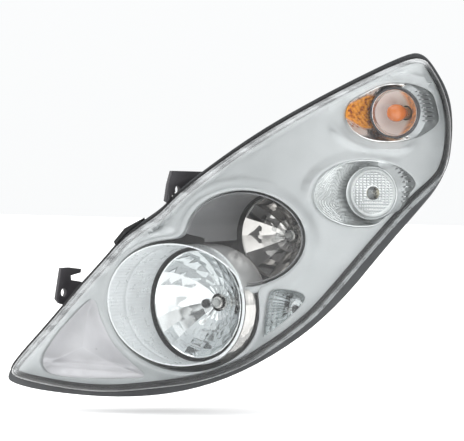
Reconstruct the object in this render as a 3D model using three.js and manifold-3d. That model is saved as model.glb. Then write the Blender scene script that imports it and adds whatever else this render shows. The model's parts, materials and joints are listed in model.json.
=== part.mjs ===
// Car headlight assembly, left-hand side. Millimetres, +Z up, light towards -Y, +X to the outer side.
import * as THREE from "three";
import { mergeVertices } from "three/addons/utils/BufferGeometryUtils.js";
import Module from "manifold-3d";

const wasm = await Module();
wasm.setup();

// ---- Styling frame: u across the lamp's face, w out of it, v up. It is swept back by SWEEP. ----
const SWEEP = THREE.MathUtils.degToRad(36);
const COS = Math.cos(SWEEP);
const SIN = Math.sin(SWEEP);
const BOW_U = 0.00089; // how fast the lens falls back across its width, 1/mm
const BOW_V = 0.0006; // and over its height, 1/mm
const FACE_CENTRE = [20, -20];

// Rim of the housing and edge of the lens, in the styling frame.
const RIM = [
  [-302, -208], [-296, -218], [-253, -227], [-157, -233], [-73, -226], [6, -202], [86, -156],
  [146, -104], [206, -32], [246, 12], [278, 48], [294, 84], [299, 132], [294, 172], [274, 208],
  [258, 226], [238, 226], [166, 192], [86, 150], [26, 114], [-33, 72], [-73, 40], [-90, 20],
  [-137, -10], [-165, -44], [-197, -80], [-241, -132], [-281, -176],
];
const LENS_EDGE = [
  [-296, -200], [-286, -209], [-241, -217], [-199, -222], [-157, -223], [-111, -218], [-44, -209],
  [12, -189], [57, -160], [90, -136], [117, -113], [195, -22], [243, 29], [277, 57], [289, 77],
  [294, 109], [294, 144], [284, 180], [267, 209], [259, 218], [238, 219], [166, 186], [86, 144],
  [26, 108], [-33, 67], [-73, 35], [-92, 13], [-138, -16], [-167, -50], [-200, -86], [-242, -136],
  [-280, -178],
];
const RING_STEP = 64; // longest distance between the points of a ring

// ---- Depths from the lens crown, all measured along w ----
const LENS_WALL = 3;
const LENS_SKIRT = 34;
const SEAL_FRONT = 34.7;
const SEAL_BACK = 39.4;
const SEAL_HALF = 2.6;
const HOUSING_FRONT = 40;
const FLANGE_BACK = 47;
const HOUSING_WALL = 3;
const BEZEL_DEPTH = 30;
const BEZEL_WALL = 2.5;
const BEZEL_SKIRT = 46;
const BEZEL_MARGIN = 6.2;
const FLATNESS = 0.12; // how far a face may stray from its true shape
// Sides of a round piece, by its size.
const FINE = 32;
const MEDIUM = 22;
const COARSE = 16;
const SMALL = 10;
const FIT_GAP = 0.4; // clearance between pieces that are fixed together
// Rear wall of the housing: depth at each u.
const REAR_WALL = [
  [-302, -186], [-218, -162], [-150, -168], [-87, -187], [-9, -192], [97, -146], [166, -140], [250, -150],
  [300, -166],
];
const REAR_SCALE = 0.9;
const REAR_STEPS = [0.12, 0.55, 1];

// ---- Lamps: axis x and z, every axis runs along Y ----
const LOW = { x: -80, z: -107 };
const HIGH = { x: -7, z: -18 };
const DAY = { x: 106, z: 40 };
const TURN = { x: 122.6, z: 146 };
const SIDE = { x: 30, z: -113 };

// Three ball points of the aiming mechanism, at one depth.
const BALL_Y = 124;
const PIVOT = { x: -10, z: 48 };
const SIDE_AIM = { x: -105, z: 48 };
const LEVEL_AIM = { x: -10, z: -102 };
const BALL_R = 5;

// The row's origin: a point on the upper bracket's flat face.
const ORIGIN = [-88, 26, 60];

// ---- Materials ----
const plastic = (color) => new THREE.MeshStandardMaterial({ color, roughness: 0.6 });
const metal = (color) => new THREE.MeshStandardMaterial({ color, roughness: 0.25, metalness: 0.9 });
const clear = (color) =>
  new THREE.MeshStandardMaterial({ color, roughness: 0.05, transparent: true, opacity: 0.3 });
const MATERIAL = {
  housing: plastic(0x55585b),
  bracket: plastic(0x3e3c42),
  black: plastic(0x232628),
  silver: metal(0xc8ccce),
  chrome: metal(0xe2e4e6),
  grey: metal(0x85888b),
  lens: clear(0xe8eef2),
  glass: clear(0xf2f6f8),
  amber: new THREE.MeshStandardMaterial({ color: 0xf0901c, roughness: 0.2 }),
  steel: metal(0xa9abad),
  brass: metal(0xc0a060),
};

// ---- Solids ----
function solid(geometry) {
  const bare = geometry.clone();
  bare.deleteAttribute("normal");
  bare.deleteAttribute("uv");
  const merged = mergeVertices(bare, 1e-4);
  const index = merged.index.array;
  const kept = [];
  for (let i = 0; i < index.length; i += 3) {
    const [a, b, c] = [index[i], index[i + 1], index[i + 2]];
    if (a !== b && b !== c && c !== a) kept.push(a, b, c);
  }
  const vertProperties = merged.attributes.position.array;
  const build = (faces) =>
    new wasm.Manifold(new wasm.Mesh({ numProp: 3, vertProperties, triVerts: new Uint32Array(faces) }));
  const made = build(kept);
  return made.volume() > 0 ? made : build(kept.reverse());
}

function geometryOf(body) {
  const raw = body.simplify(FLATNESS).getMesh();
  const geometry = new THREE.BufferGeometry();
  geometry.setAttribute("position", new THREE.BufferAttribute(raw.vertProperties, 3));
  geometry.setIndex(new THREE.BufferAttribute(raw.triVerts, 1));
  const faceted = geometry.toNonIndexed();
  faceted.computeVertexNormals();
  return faceted;
}

const union = (first, ...others) => others.reduce((body, other) => body.add(other), first);
const cut = (first, ...others) => others.reduce((body, other) => body.subtract(other), first);

// A solid turned about a lamp's axis: profile points are [radius, y].
function turned(axis, profile, segments = COARSE) {
  const points = profile.map(([r, y]) => new THREE.Vector2(r, y));
  const geometry = new THREE.LatheGeometry(points, segments);
  return solid(geometry.translate(axis.x, 0, axis.z));
}

const loop = (profile) => [...profile, profile[0]];
const rod = (axis, y0, y1, r, segments = COARSE) =>
  turned(axis, [[0, y0], [r, y0], [r, y1], [0, y1]], segments);
const tube = (axis, y0, y1, inner, outer, segments = MEDIUM) =>
  turned(axis, loop([[inner, y0], [outer, y0], [outer, y1], [inner, y1]]), segments);

function block(low, high) {
  const size = high.map((value, i) => value - low[i]);
  const geometry = new THREE.BoxGeometry(...size);
  return solid(geometry.translate(...low.map((value, i) => value + size[i] / 2)));
}

function ball(x, y, z, r, segments = SMALL) {
  const geometry = new THREE.SphereGeometry(r, segments, segments / 2);
  return solid(geometry.translate(x, y, z));
}

// A cylinder along X.
function rodX(x0, x1, y, z, r, segments = COARSE) {
  const geometry = new THREE.CylinderGeometry(r, r, x1 - x0, segments);
  geometry.rotateZ(Math.PI / 2);
  return solid(geometry.translate((x0 + x1) / 2, y, z));
}

function shapeOf(points) {
  return new THREE.Shape(points.map(([a, b]) => new THREE.Vector2(a, b)));
}

// A plate square to Y, drawn as x, z.
function plateY(points, y0, y1) {
  const geometry = new THREE.ExtrudeGeometry(shapeOf(points), { depth: y1 - y0, bevelEnabled: false });
  geometry.rotateX(Math.PI / 2);
  return solid(geometry.translate(0, y1, 0));
}

// A plate square to X, drawn as y, z.
function plateX(points, x0, x1) {
  const geometry = new THREE.ExtrudeGeometry(shapeOf(points), { depth: x1 - x0, bevelEnabled: false });
  geometry.rotateX(Math.PI / 2);
  geometry.rotateZ(Math.PI / 2);
  return solid(geometry.translate(x0, 0, 0));
}

// A bent round wire through points.
function wire(points, r, closed = false) {
  const route = new THREE.CurvePath();
  const corners = points.map((p) => new THREE.Vector3(...p));
  if (closed) corners.push(corners[0]);
  for (let i = 1; i < corners.length; i++) route.add(new THREE.LineCurve3(corners[i - 1], corners[i]));
  const legs = route.curves.map(({ v1, v2 }) => {
    const run = new THREE.Vector3().subVectors(v2, v1);
    const leg = new THREE.CylinderGeometry(r, r, run.length(), 8);
    const turn = new THREE.Quaternion().setFromUnitVectors(new THREE.Vector3(0, 1, 0), run.normalize());
    leg.applyQuaternion(turn);
    const middle = v1.clone().add(v2).multiplyScalar(0.5);
    return solid(leg.translate(middle.x, middle.y, middle.z));
  });
  const joints = corners.map((p) => ball(p.x, p.y, p.z, r, 8));
  return union(...legs, ...joints);
}

// ---- Rings in the styling frame ----
const toLamp = (u, w, v) => new THREE.Vector3(u * COS + w * SIN, u * SIN - w * COS, v);
const crown = (u, v) => -BOW_U * u * u - BOW_V * v * v;

function resampled(outline, step) {
  return outline.flatMap(([u, v], i) => {
    const [un, vn] = outline[(i + 1) % outline.length];
    const count = Math.max(1, Math.ceil(Math.hypot(un - u, vn - v) / step));
    return Array.from({ length: count }, (_, k) => [u + ((un - u) * k) / count, v + ((vn - v) * k) / count]);
  });
}

const BEARINGS = resampled(RIM, RING_STEP).map(([u, v]) =>
  Math.atan2(v - FACE_CENTRE[1], u - FACE_CENTRE[0]),
);

// Distance from the face's centre to an outline, at one bearing.
function reach(outline, bearing) {
  const [du, dv] = [Math.cos(bearing), Math.sin(bearing)];
  let best = 0;
  outline.forEach(([u0, v0], i) => {
    const [u1, v1] = outline[(i + 1) % outline.length];
    const [pu, pv] = [u0 - FACE_CENTRE[0], v0 - FACE_CENTRE[1]];
    const [eu, ev] = [u1 - u0, v1 - v0];
    const det = du * ev - dv * eu;
    if (Math.abs(det) < 1e-9) return;
    const along = (pu * ev - pv * eu) / det;
    const part = (pu * dv - pv * du) / det;
    if (along > 0 && part >= -1e-6 && part <= 1 + 1e-6) best = Math.max(best, along);
  });
  return best;
}

const ringOf = (outline, scale = 1) =>
  BEARINGS.map((bearing) => {
    const far = reach(outline, bearing) * scale;
    return [FACE_CENTRE[0] + far * Math.cos(bearing), FACE_CENTRE[1] + far * Math.sin(bearing)];
  });

// An outline moved inwards by a distance, or outwards by a negative one. Outlines run anticlockwise.
function inset(outline, distance) {
  const count = outline.length;
  return outline.map(([u, v], i) => {
    const [pu, pv] = outline[(i + count - 1) % count];
    const [nu, nv] = outline[(i + 1) % count];
    const before = new THREE.Vector2(u - pu, v - pv).normalize();
    const after = new THREE.Vector2(nu - u, nv - v).normalize();
    const inward = new THREE.Vector2(-before.y - after.y, before.x + after.x).normalize();
    const spread = Math.max(0.6, -before.y * inward.x + before.x * inward.y);
    return [u + (inward.x * distance) / spread, v + (inward.y * distance) / spread];
  });
}

const scaledAbout = (outline, [cu, cv], k) => outline.map(([u, v]) => [cu + (u - cu) * k, cv + (v - cv) * k]);

// A closed solid through rings of [u, w, v]; the first and last rings are capped.
function loft(rings) {
  const size = rings[0].length;
  const points = rings.flat().map((p) => toLamp(...p));
  const faces = [];
  for (let k = 0; k + 1 < rings.length; k++) {
    for (let i = 0; i < size; i++) {
      const [a, b] = [k * size + i, k * size + ((i + 1) % size)];
      faces.push(a, b, b + size, a, b + size, a + size);
    }
  }
  const capRing = (k, flip) => {
    const flat = rings[k].map(([u, , v]) => new THREE.Vector2(u, v));
    THREE.ShapeUtils.triangulateShape(flat, []).forEach(([a, b, c]) => {
      const [p, q, r] = [a, b, c].map((i) => k * size + i);
      faces.push(...(flip ? [p, r, q] : [p, q, r]));
    });
  };
  capRing(0, true);
  capRing(rings.length - 1, false);
  return solid(indexed(points, faces));
}

// The same through rings that close on themselves, the last joined to the first.
function ringLoop(rings) {
  const size = rings[0].length;
  const points = rings.flat().map((p) => toLamp(...p));
  const faces = [];
  rings.forEach((_, k) => {
    const next = (k + 1) % rings.length;
    for (let i = 0; i < size; i++) {
      const j = (i + 1) % size;
      const [a, b, c, d] = [k * size + i, k * size + j, next * size + j, next * size + i];
      faces.push(a, b, c, a, c, d);
    }
  });
  return solid(indexed(points, faces));
}

function indexed(points, faces) {
  const geometry = new THREE.BufferGeometry().setFromPoints(points);
  geometry.setIndex(faces);
  return geometry;
}

const atCrown = (ring, back) => ring.map(([u, v]) => [u, crown(u, v) - back, v]);

function wallDepth(u) {
  const i = REAR_WALL.findIndex(([edge]) => edge > u);
  if (i <= 0) return i === 0 ? REAR_WALL[0][1] : REAR_WALL.at(-1)[1];
  const [[u0, w0], [u1, w1]] = [REAR_WALL[i - 1], REAR_WALL[i]];
  return w0 + ((w1 - w0) * (u - u0)) / (u1 - u0);
}
const atRear = (ring, lift) => ring.map(([u, v]) => [u, wallDepth(u) + lift, v]);
const atDepth = (ring, w) => ring.map(([u, v]) => [u, w, v]);
const FAR_BACK = -600;
const FAR_FRONT = 60;

// A prism through the face, drawn in u, v.
function prism(outline, back, front) {
  const points = [back, front].map((w) => outline.map(([u, v]) => [u, w, v]));
  return loft(points);
}

// All that lies further back than the bezel's front, by a distance.
const FIELD = [[-420, -320], [420, -320], [420, 320], [-420, 320]];
const FIELD_STEP = 60;
function behindBezel(back) {
  const edge = resampled(FIELD, FIELD_STEP);
  const rings = [1, 0.78, 0.58, 0.4, 0.24, 0.1].map((k) => edge.map(([u, v]) => [u * k, v * k]));
  return loft([atDepth(edge, FAR_BACK), ...rings.map((ring) => atCrown(ring, BEZEL_DEPTH + back))]);
}

// ---- Housing ----
const CAP_SEAT = { low: 184, high: 225 };
const CAP_BORE = 45;
const TURRET_R = 50;
const HOLDER_SEAT = { day: 277, turn: 290 };
const HOLDER_BORE = 17.5;
const HOLDER_BOSS = 21;
const CONNECTOR_SEAT = 244;
const CONNECTOR = { x: [56, 82], z: [8, 30] };
const VENT = { x: 30, z: 75 };
const VENT_SEAT = 207;
const PEG = { x: 60, z: 100 };
const PEG_SEAT = 231;
const MOTOR_SEAT = 186;
const AIM_SEAT = 164;

// The rear wall's rings, from its middle out to its edge.
const rearRings = (distance, lift) =>
  REAR_STEPS.map((k) => atRear(ringOf(inset(RIM, distance), REAR_SCALE * k), lift));

function housingOuter(grow) {
  const rim = ringOf(inset(RIM, -grow));
  const throat = ringOf(inset(LENS_EDGE, 0.5 - grow));
  return loft([
    ...rearRings(-grow, -grow),
    atCrown(throat, FLANGE_BACK + 4),
    atCrown(throat, FLANGE_BACK + grow),
    atCrown(rim, FLANGE_BACK + grow),
    atCrown(rim, HOUSING_FRONT - grow),
    atCrown(ringOf(inset(LENS_EDGE, 9)), HOUSING_FRONT - grow),
  ]);
}

// The room inside the housing, less a margin.
function housingInner(margin) {
  const mouth = ringOf(inset(LENS_EDGE, 4 + margin));
  const wall = HOUSING_WALL + margin;
  return loft([
    ...rearRings(wall / REAR_SCALE, wall),
    atCrown(mouth, FLANGE_BACK + 4),
    atDepth(mouth, FAR_FRONT),
  ]);
}

function housingSolid() {
  const shell = union(
    housingOuter(0),
    rod(LOW, 110, CAP_SEAT.low, TURRET_R, MEDIUM),
    rod(HIGH, 130, CAP_SEAT.high, TURRET_R, MEDIUM),
    rod(DAY, 210, HOLDER_SEAT.day, HOLDER_BOSS),
    rod(TURN, 240, HOLDER_SEAT.turn, HOLDER_BOSS),
    rod(VENT, 170, VENT_SEAT, 11),
    rod(PEG, 200, PEG_SEAT, 9),
    rod(LEVEL_AIM, 150, MOTOR_SEAT, 15),
    rod(SIDE_AIM, 140, AIM_SEAT, 9),
    block([CONNECTOR.x[0] - 2, 190, CONNECTOR.z[0] - 2], [CONNECTOR.x[1] + 2, CONNECTOR_SEAT, CONNECTOR.z[1] + 2]),
  );
  const hollow = cut(
    shell,
    housingInner(0),
    rod(LOW, 100, 260, CAP_BORE, MEDIUM),
    rod(HIGH, 120, 260, CAP_BORE, MEDIUM),
    rod(DAY, 200, 320, HOLDER_BORE),
    rod(TURN, 220, 320, HOLDER_BORE),
    rod(VENT, 160, 230, 4.4),
    rod(LEVEL_AIM, 140, 210, 6.2),
    rod(SIDE_AIM, 130, 180, 3.5),
    rod(PEG, PEG_SEAT - 8, 240, 3.8),
  );
  const stud = cut(rod(PIVOT, 156, 200, 9), rod(PIVOT, 150, 170, 5.4)).intersect(housingOuter(0));
  return hollow.add(stud);
}

// ---- Lens and its seal ----
const SHOULDER_CENTRE = [150, -110];
const SHOULDERS = [[0.995, 13], [0.975, 5], [0.955, 1.2]];
const DOME_STEPS = [0.8, 0.48, 0.14];

// Three rings that close a shell's edge squarely, so that its cap lies well inside.
const squareEdge = (edge, back) => [atCrown(ringOf(inset(edge, 9)), back), atCrown(ringOf(edge), back)];
const openEdge = (edge) => [atDepth(ringOf(edge), FAR_BACK)];

function lensBody(edge, drop, base) {
  const sides = SHOULDERS.map(([k, back]) => atCrown(ringOf(scaledAbout(edge, SHOULDER_CENTRE, k)), back + drop));
  const top = scaledAbout(edge, SHOULDER_CENTRE, SHOULDERS.at(-1)[0]);
  return loft([...base, ...sides, ...DOME_STEPS.map((k) => atCrown(ringOf(top, k), drop))]);
}

function lensSolid() {
  const outer = lensBody(LENS_EDGE, 0, squareEdge(LENS_EDGE, LENS_SKIRT));
  const edge = inset(LENS_EDGE, LENS_WALL);
  return outer.subtract(lensBody(edge, LENS_WALL, openEdge(edge)));
}

function sealSolid() {
  const [wide, narrow] = [-SEAL_HALF, SEAL_HALF].map((d) => ringOf(inset(LENS_EDGE, d)));
  return ringLoop([
    atCrown(wide, SEAL_FRONT),
    atCrown(narrow, SEAL_FRONT),
    atCrown(narrow, SEAL_BACK),
    atCrown(wide, SEAL_BACK),
  ]);
}

// ---- Bezel and the trims in its openings ----
const LOW_OPENING = 87.8;
const HIGH_OPENING = 62.6;
const DAY_OPENING = 44.8;
const TURN_OPENING = 39.6;
const COVE = [
  [-236, -201], [-209, -195], [-176, -191], [-149, -190], [-142, -170], [-153, -150], [-166, -130],
  [-171, -118], [-175, -101], [-183, -99], [-203, -122], [-226, -146], [-240, -166], [-254, -182],
  [-250, -196],
];
const CORNER = [
  [36, -147], [56, -134], [80, -114], [97, -91], [50, -83], [42, -100], [40, -120], [38, -135],
];
const TRIM_GAP = 0.6;
const TRIM_WALL = 1.6;

function bezelBody(edge, drop, base) {
  const top = inset(edge, 2);
  const steps = [1, ...DOME_STEPS];
  return loft([
    ...base,
    atCrown(ringOf(edge), BEZEL_DEPTH + 2 + drop),
    ...steps.map((k) => atCrown(ringOf(top, k), BEZEL_DEPTH + drop)),
  ]);
}

function bezelSolid() {
  const [edge, inner] = [BEZEL_MARGIN, BEZEL_MARGIN + BEZEL_WALL].map((d) => inset(LENS_EDGE, d));
  const outer = bezelBody(edge, 0, squareEdge(edge, BEZEL_SKIRT));
  const sheet = outer.subtract(bezelBody(inner, BEZEL_WALL, openEdge(inner)));
  return cut(
    sheet,
    rod(LOW, -140, 150, LOW_OPENING, FINE),
    rod(HIGH, -140, 150, HIGH_OPENING, FINE),
    rod(DAY, 0, 300, DAY_OPENING, MEDIUM),
    rod(TURN, 0, 330, TURN_OPENING, MEDIUM),
    prism(COVE, -190, -30),
    prism(CORNER, -110, -20),
  );
}

const HOOD = [[76, 33], [79, 0], [85, -66]];
const HOOD_WALL = 2;
const HOOD_RING = [27, 33];
const BARREL_OUTER = [[78.5, 33.5], [80, 50], [80, 70], [74, 92], [62, 106], [50, 114]];
const BARREL_INNER = [[48.5, 112.5], [60, 104.5], [72, 90.5], [78, 69], [78, 50], [76.5, 33.5]];

function hoodSolid() {
  const outer = HOOD.map(([r, y]) => [r + HOOD_WALL, y]).reverse();
  const flare = turned(LOW, loop([...HOOD, ...outer]), FINE).intersect(behindBezel(-1.5));
  return flare.add(tube(LOW, ...HOOD_RING, HOOD[0][0], HOOD[0][0] + 4, FINE));
}

const barrelSolid = () => turned(LOW, loop([...BARREL_OUTER, ...BARREL_INNER]), FINE);

const TUNNEL = { front: 60, back: 57, wall: 2, end: 104 };

function tunnelSolid() {
  const { front, back, wall, end } = TUNNEL;
  const profile = [[front, -30], [back, end], [back + wall, end], [front + wall, -30]];
  const keep = turned(LOW, [[0, -80], [88.4, -80], [88.4, 33.2], [82, 33.2], [82, 130], [0, 130]], FINE);
  return turned(HIGH, loop(profile), FINE).intersect(behindBezel(-1.5)).subtract(keep);
}

// A dished trim behind an opening of the bezel.
function dish(front, back, innerBack) {
  return loft([back, front]).subtract(loft([innerBack, front.map(([u, w, v]) => [u, w + 2, v])]));
}

const middle = (outline) =>
  outline.reduce(([u, v], [pu, pv]) => [u + pu / outline.length, v + pv / outline.length], [0, 0]);

const COVE_DEPTH = 24;
const COVE_FLOOR = 0.62;

function coveSolid() {
  const edge = inset(COVE, TRIM_GAP);
  const centre = middle(COVE);
  const floor = scaledAbout(edge, centre, COVE_FLOOR);
  const outer = loft([atCrown(floor, BEZEL_DEPTH + COVE_DEPTH), atCrown(edge, BEZEL_DEPTH - 0.4)]);
  const lip = inset(edge, TRIM_WALL);
  const sunk = scaledAbout(lip, centre, COVE_FLOOR);
  const inner = loft([
    atCrown(sunk, BEZEL_DEPTH + COVE_DEPTH - TRIM_WALL),
    atCrown(lip, BEZEL_DEPTH),
    atCrown(lip, BEZEL_DEPTH - 3),
  ]);
  return outer.subtract(inner);
}

// Corner lamp: from its opening back to a smaller floor square to Y.
const CORNER_FLOOR_Y = 106;
const CORNER_FLOOR = 0.5;
const CORNER_LIFT = -BEZEL_WALL - 2 * FIT_GAP;

function cornerRings(outline, floorY, lift) {
  const front = outline.map(([u, v]) => [u, crown(u, v) - BEZEL_DEPTH + lift, v]);
  const spots = front.map((p) => toLamp(...p));
  const centre = spots.reduce((sum, p) => sum.add(p), new THREE.Vector3()).divideScalar(spots.length);
  const floor = spots.map((p) => {
    const x = SIDE.x + (p.x - centre.x) * CORNER_FLOOR;
    const z = SIDE.z + (p.z - centre.z) * CORNER_FLOOR;
    return [x * COS + floorY * SIN, x * SIN - floorY * COS, z];
  });
  return [floor, front];
}

function cornerSolid() {
  const edge = inset(CORNER, -TRIM_GAP);
  const outer = loft(cornerRings(edge, CORNER_FLOOR_Y, CORNER_LIFT));
  const [floor, front] = cornerRings(inset(edge, TRIM_WALL), CORNER_FLOOR_Y - TRIM_WALL, CORNER_LIFT);
  const inner = loft([floor, front, front.map(([u, w, v]) => [u, w + 3, v])]);
  return cut(outer, inner, rod(SIDE, 90, 120, 6));
}

// ---- Front lamps fixed in the bezel: daytime lamp and indicator ----
const DAY_POCKET = { wall: 42.6, thick: 1.6, floor: 196, tube: 34, tubeFront: 171, bowl: 189, hole: 9 };
const TURN_POCKET = { wall: 37.4, thick: 1.6, floor: 224, tube: 30.2, tubeFront: 201, bowl: 231, hole: 9.5 };

function pocketSolid(axis, { wall, thick, floor, tube: neck, tubeFront, bowl, hole }) {
  const skirt = tube(axis, 60, floor + thick, wall, wall + thick, MEDIUM).intersect(behindBezel(-1));
  const ledge = tube(axis, floor, floor + thick, neck - 2, wall + thick, MEDIUM);
  const inner = [[neck - 2, tubeFront], [neck - 2.4, tubeFront + 8], [neck * 0.7, bowl - 4], [hole, bowl]];
  const outer = [[hole, bowl + thick], [neck * 0.7 + 1, bowl - 2], [neck, tubeFront + 10], [neck, tubeFront]];
  const cupBody = turned(axis, loop([...inner, ...outer]), MEDIUM);
  const rear = tube(axis, Math.min(floor, bowl - 6), Math.max(floor + thick, bowl - 2), neck * 0.7, neck, MEDIUM);
  return union(skirt, ledge, cupBody, rear).intersect(housingInner(2.8));
}

const bulb = (axis, profile) => turned(axis, profile, SMALL);
const capsule = (tip, y0, y1, r) => [
  [0, y0], [r * 0.6, y0 + tip * 0.3], [r * 0.95, y0 + tip * 0.8], [r, y0 + tip * 1.4], [r, y1 - 3], [r * 0.8, y1],
  [0, y1],
];

// A bulb holder: stem in the housing's bore, flange on its seat, and a grip.
function holderSolid(axis, stem, seat, grip) {
  const body = turned(axis, [
    [0, stem], [HOLDER_BORE - 2, stem], [HOLDER_BORE - 2, seat + 0.3], [HOLDER_BOSS, seat + 0.3],
    [HOLDER_BOSS, seat + 3.5], [12, seat + 3.5], [12, grip], [0, grip],
  ], MEDIUM);
  const { x, z } = axis;
  return body.add(block([x - 3, seat + 3, z - 17], [x + 3, grip, z + 17]));
}

// ---- The unit that aims: two reflectors on one carrier ----
const LOW_BOWL = { apex: 85, focus: 25, rim: 69.6, hole: 12, wall: 2.4 };
const HIGH_BOWL = { apex: 150, focus: 19.9, rim: 54, hole: 11, wall: 2.2 };
const CARRIER = [122, 126];
const CARRIER_EDGE = [
  [-122, 34], [-118, 60], [2, 62], [46, 44], [62, 4], [58, -50], [26, -88], [8, -116], [-26, -118],
  [-40, -156], [-110, -156], [-122, -128], [-122, -90], [-76, -44], [-76, 34],
];
const NECK = { inner: 37.6, outer: 40, seat: 121.6 };

function bowlSolid(axis, { apex, focus, rim, hole, wall }) {
  const at = (r) => apex - (r * r) / (4 * focus);
  const steps = Array.from({ length: 5 }, (_, i) => hole + ((rim - hole) * i) / 4);
  const front = steps.map((r) => [r, at(r)]);
  const back = steps.map((r) => [r, at(r) + wall]).reverse();
  const lip = [[rim + 1.8, at(rim) + 0.4], [rim + 1.8, at(rim) + 3.4]];
  return turned(axis, loop([...front, ...lip, ...back]), FINE);
}

function lowReflectorSolid() {
  return bowlSolid(LOW, LOW_BOWL).add(tube(LOW, 71.2, NECK.seat, NECK.inner, NECK.outer, MEDIUM));
}
const highReflectorSolid = () => bowlSolid(HIGH, HIGH_BOWL).add(tube(HIGH, 119.8, 121.6, 49.2, 56, MEDIUM));

const SOCKET = [[5.6, 128], [5.6, 118.2], [0, 118.2]];
const socket = (axis, r) => turned(axis, [[0, 116], [r, 116], [r, 130], [4.4, 130], [4.4, 128], ...SOCKET], COARSE);

function carrierSolid() {
  const plate = cut(
    plateY(CARRIER_EDGE, ...CARRIER),
    rod(LOW, 110, 140, 34, MEDIUM),
    rod(HIGH, 110, 140, 49.7, MEDIUM),
    rod(PIVOT, 110, 140, 8.5),
    rod(SIDE_AIM, 110, 140, 8),
    rod(LEVEL_AIM, 110, 140, 8),
  );
  return union(plate, socket(SIDE_AIM, 9), socket(LEVEL_AIM, 9));
}

const ballPin = (axis, end, r) => ball(axis.x, BALL_Y, axis.z, BALL_R).add(rod(axis, BALL_Y, end, r, SMALL));

function pivotStudSolid() {
  return union(ballPin(PIVOT, 150, 3), rod(PIVOT, 148, 169.6, 5, SMALL));
}

// Main bulbs: a base plate in the bowl's neck, a capsule forward of it, three blades behind.
function baseSolid(axis, apex) {
  const body = turned(axis, [
    [0, apex - 4], [8, apex - 4], [8, apex + 4.5], [15, apex + 4.5], [15, apex + 7], [8.5, apex + 7],
    [8.5, apex + 13], [0, apex + 13],
  ], MEDIUM);
  return body;
}

function plugSolid(axis, apex) {
  const { x, z } = axis;
  return block([x - 6.8, apex + 13.4, z - 8], [x + 6.8, apex + 26, z + 8]);
}

const CLIP = { half: 10.4, reach: 19, wire: 1.1, back: 8.6 };

function clipSolid(axis, apex) {
  const { half, reach: far, wire: r, back } = CLIP;
  const y = apex + back;
  const { x, z } = axis;
  return wire([[x - half, y, z - far], [x + half, y, z - far], [x + half, y, z + far], [x - half, y, z + far]], r, true);
}

// ---- Rear covers, motor, adjuster, connector ----
const CAP = { inner: 50.6, outer: 53, skirt: 10, top: 6 };

function capSolid(axis, seat) {
  const { inner, outer, skirt, top } = CAP;
  const shell = turned(axis, [
    [0, seat + top], [outer - 2, seat + top], [outer, seat + top - 2], [outer, seat - skirt],
    [inner, seat - skirt], [inner, seat + 3.4], [0, seat + 3.4],
  ], MEDIUM);
  const { x, z } = axis;
  const grip = block([x - 34, seat + top - 1, z - 3], [x + 34, seat + top + 7, z + 3]);
  return shell.add(grip);
}

const MOTOR = { low: [-26, MOTOR_SEAT + 0.4, -115], high: [5, 211, -87] };
const MOTOR_SOCKET = { low: [-19, 194, -89], high: [-2, 210, -75] };

function motorSolid() {
  const { low, high } = MOTOR_SOCKET;
  return cut(
    union(block(MOTOR.low, MOTOR.high), rod(LEVEL_AIM, 168, MOTOR_SEAT + 2, 5.8), block(low, high)),
    rod(LEVEL_AIM, 150, 207, 3.4),
    block([low[0] + 2, low[1] + 2, low[2] + 4], [high[0] - 2, high[1] - 2, high[2] + 4]),
    rod(ADJUSTER, 204, 215, 2.4, SMALL),
  );
}
const ADJUSTER = { x: -19, z: -108 };

function adjusterSolid() {
  return union(rod(ADJUSTER, 205, 213, 2, SMALL), rod(ADJUSTER, 211.5, 218, 5.5, 8));
}

const screwSolid = () => union(ballPin(SIDE_AIM, 172, 3), rod(SIDE_AIM, 170, 182, 9, 10));

function connectorSolid() {
  const floor = CONNECTOR_SEAT + 4.6;
  const [[x0, x1], [z0, z1]] = [CONNECTOR.x, CONNECTOR.z];
  const box = block([x0, CONNECTOR_SEAT + 0.4, z0], [x1, CONNECTOR_SEAT + 20, z1]);
  const shroud = box.subtract(block([x0 + 3, floor, z0 + 3], [x1 - 3, 280, z1 - 3]));
  const middles = [0.3, 0.5, 0.7].map((k) => x0 + (x1 - x0) * k);
  const blades = middles.map((x) => block([x - 0.6, floor - 1, z0 + 8], [x + 0.6, floor + 10, z1 - 8]));
  return union(shroud, ...blades);
}

const pegSolid = () =>
  turned(PEG, [
    [0, PEG_SEAT - 7], [3.4, PEG_SEAT - 7], [3.4, PEG_SEAT + 0.3], [8, PEG_SEAT + 0.3], [8, PEG_SEAT + 4],
    [5, PEG_SEAT + 4], [5, PEG_SEAT + 18], [3, PEG_SEAT + 21], [0, PEG_SEAT + 21],
  ], COARSE);

const ventSolid = () => union(rod(VENT, 194, VENT_SEAT + 2, 4, SMALL), rod(VENT, VENT_SEAT + 0.3, VENT_SEAT + 8, 9.5));

// ---- Brackets ----
const BRACKET_HOLE = 6;
const UPPER = { x: [-92, -88], hole: [4.8, 45] };
const UPPER_EDGE = [[-21, 31], [-6, 24], [66, 10], [66, 40], [60, 68], [-8, 70], [-16, 52]];
const LOWER = { x: [-243, -239], hole: [-47.6, -93] };
const LOWER_EDGE = [
  [-63, -101], [-56, -107], [-20, -116], [10, -110], [6, -86], [-12, -80], [-32, -77], [-33, -71], [-12, -68],
  [-11, -63], [-36, -60], [-53, -60],
];

// All that lies inside the seal's outline, from the flange forwards.
function lensGuard() {
  const guard = ringOf(inset(LENS_EDGE, -SEAL_HALF - FIT_GAP));
  return loft([atCrown(guard, HOUSING_FRONT + 4), atDepth(guard, FAR_FRONT)]);
}

// A skin on the housing's side wall, behind its flange.
const wallSkin = (thick) => housingOuter(thick).intersect(behindBezel(FLANGE_BACK + 5 - BEZEL_DEPTH));

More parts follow.
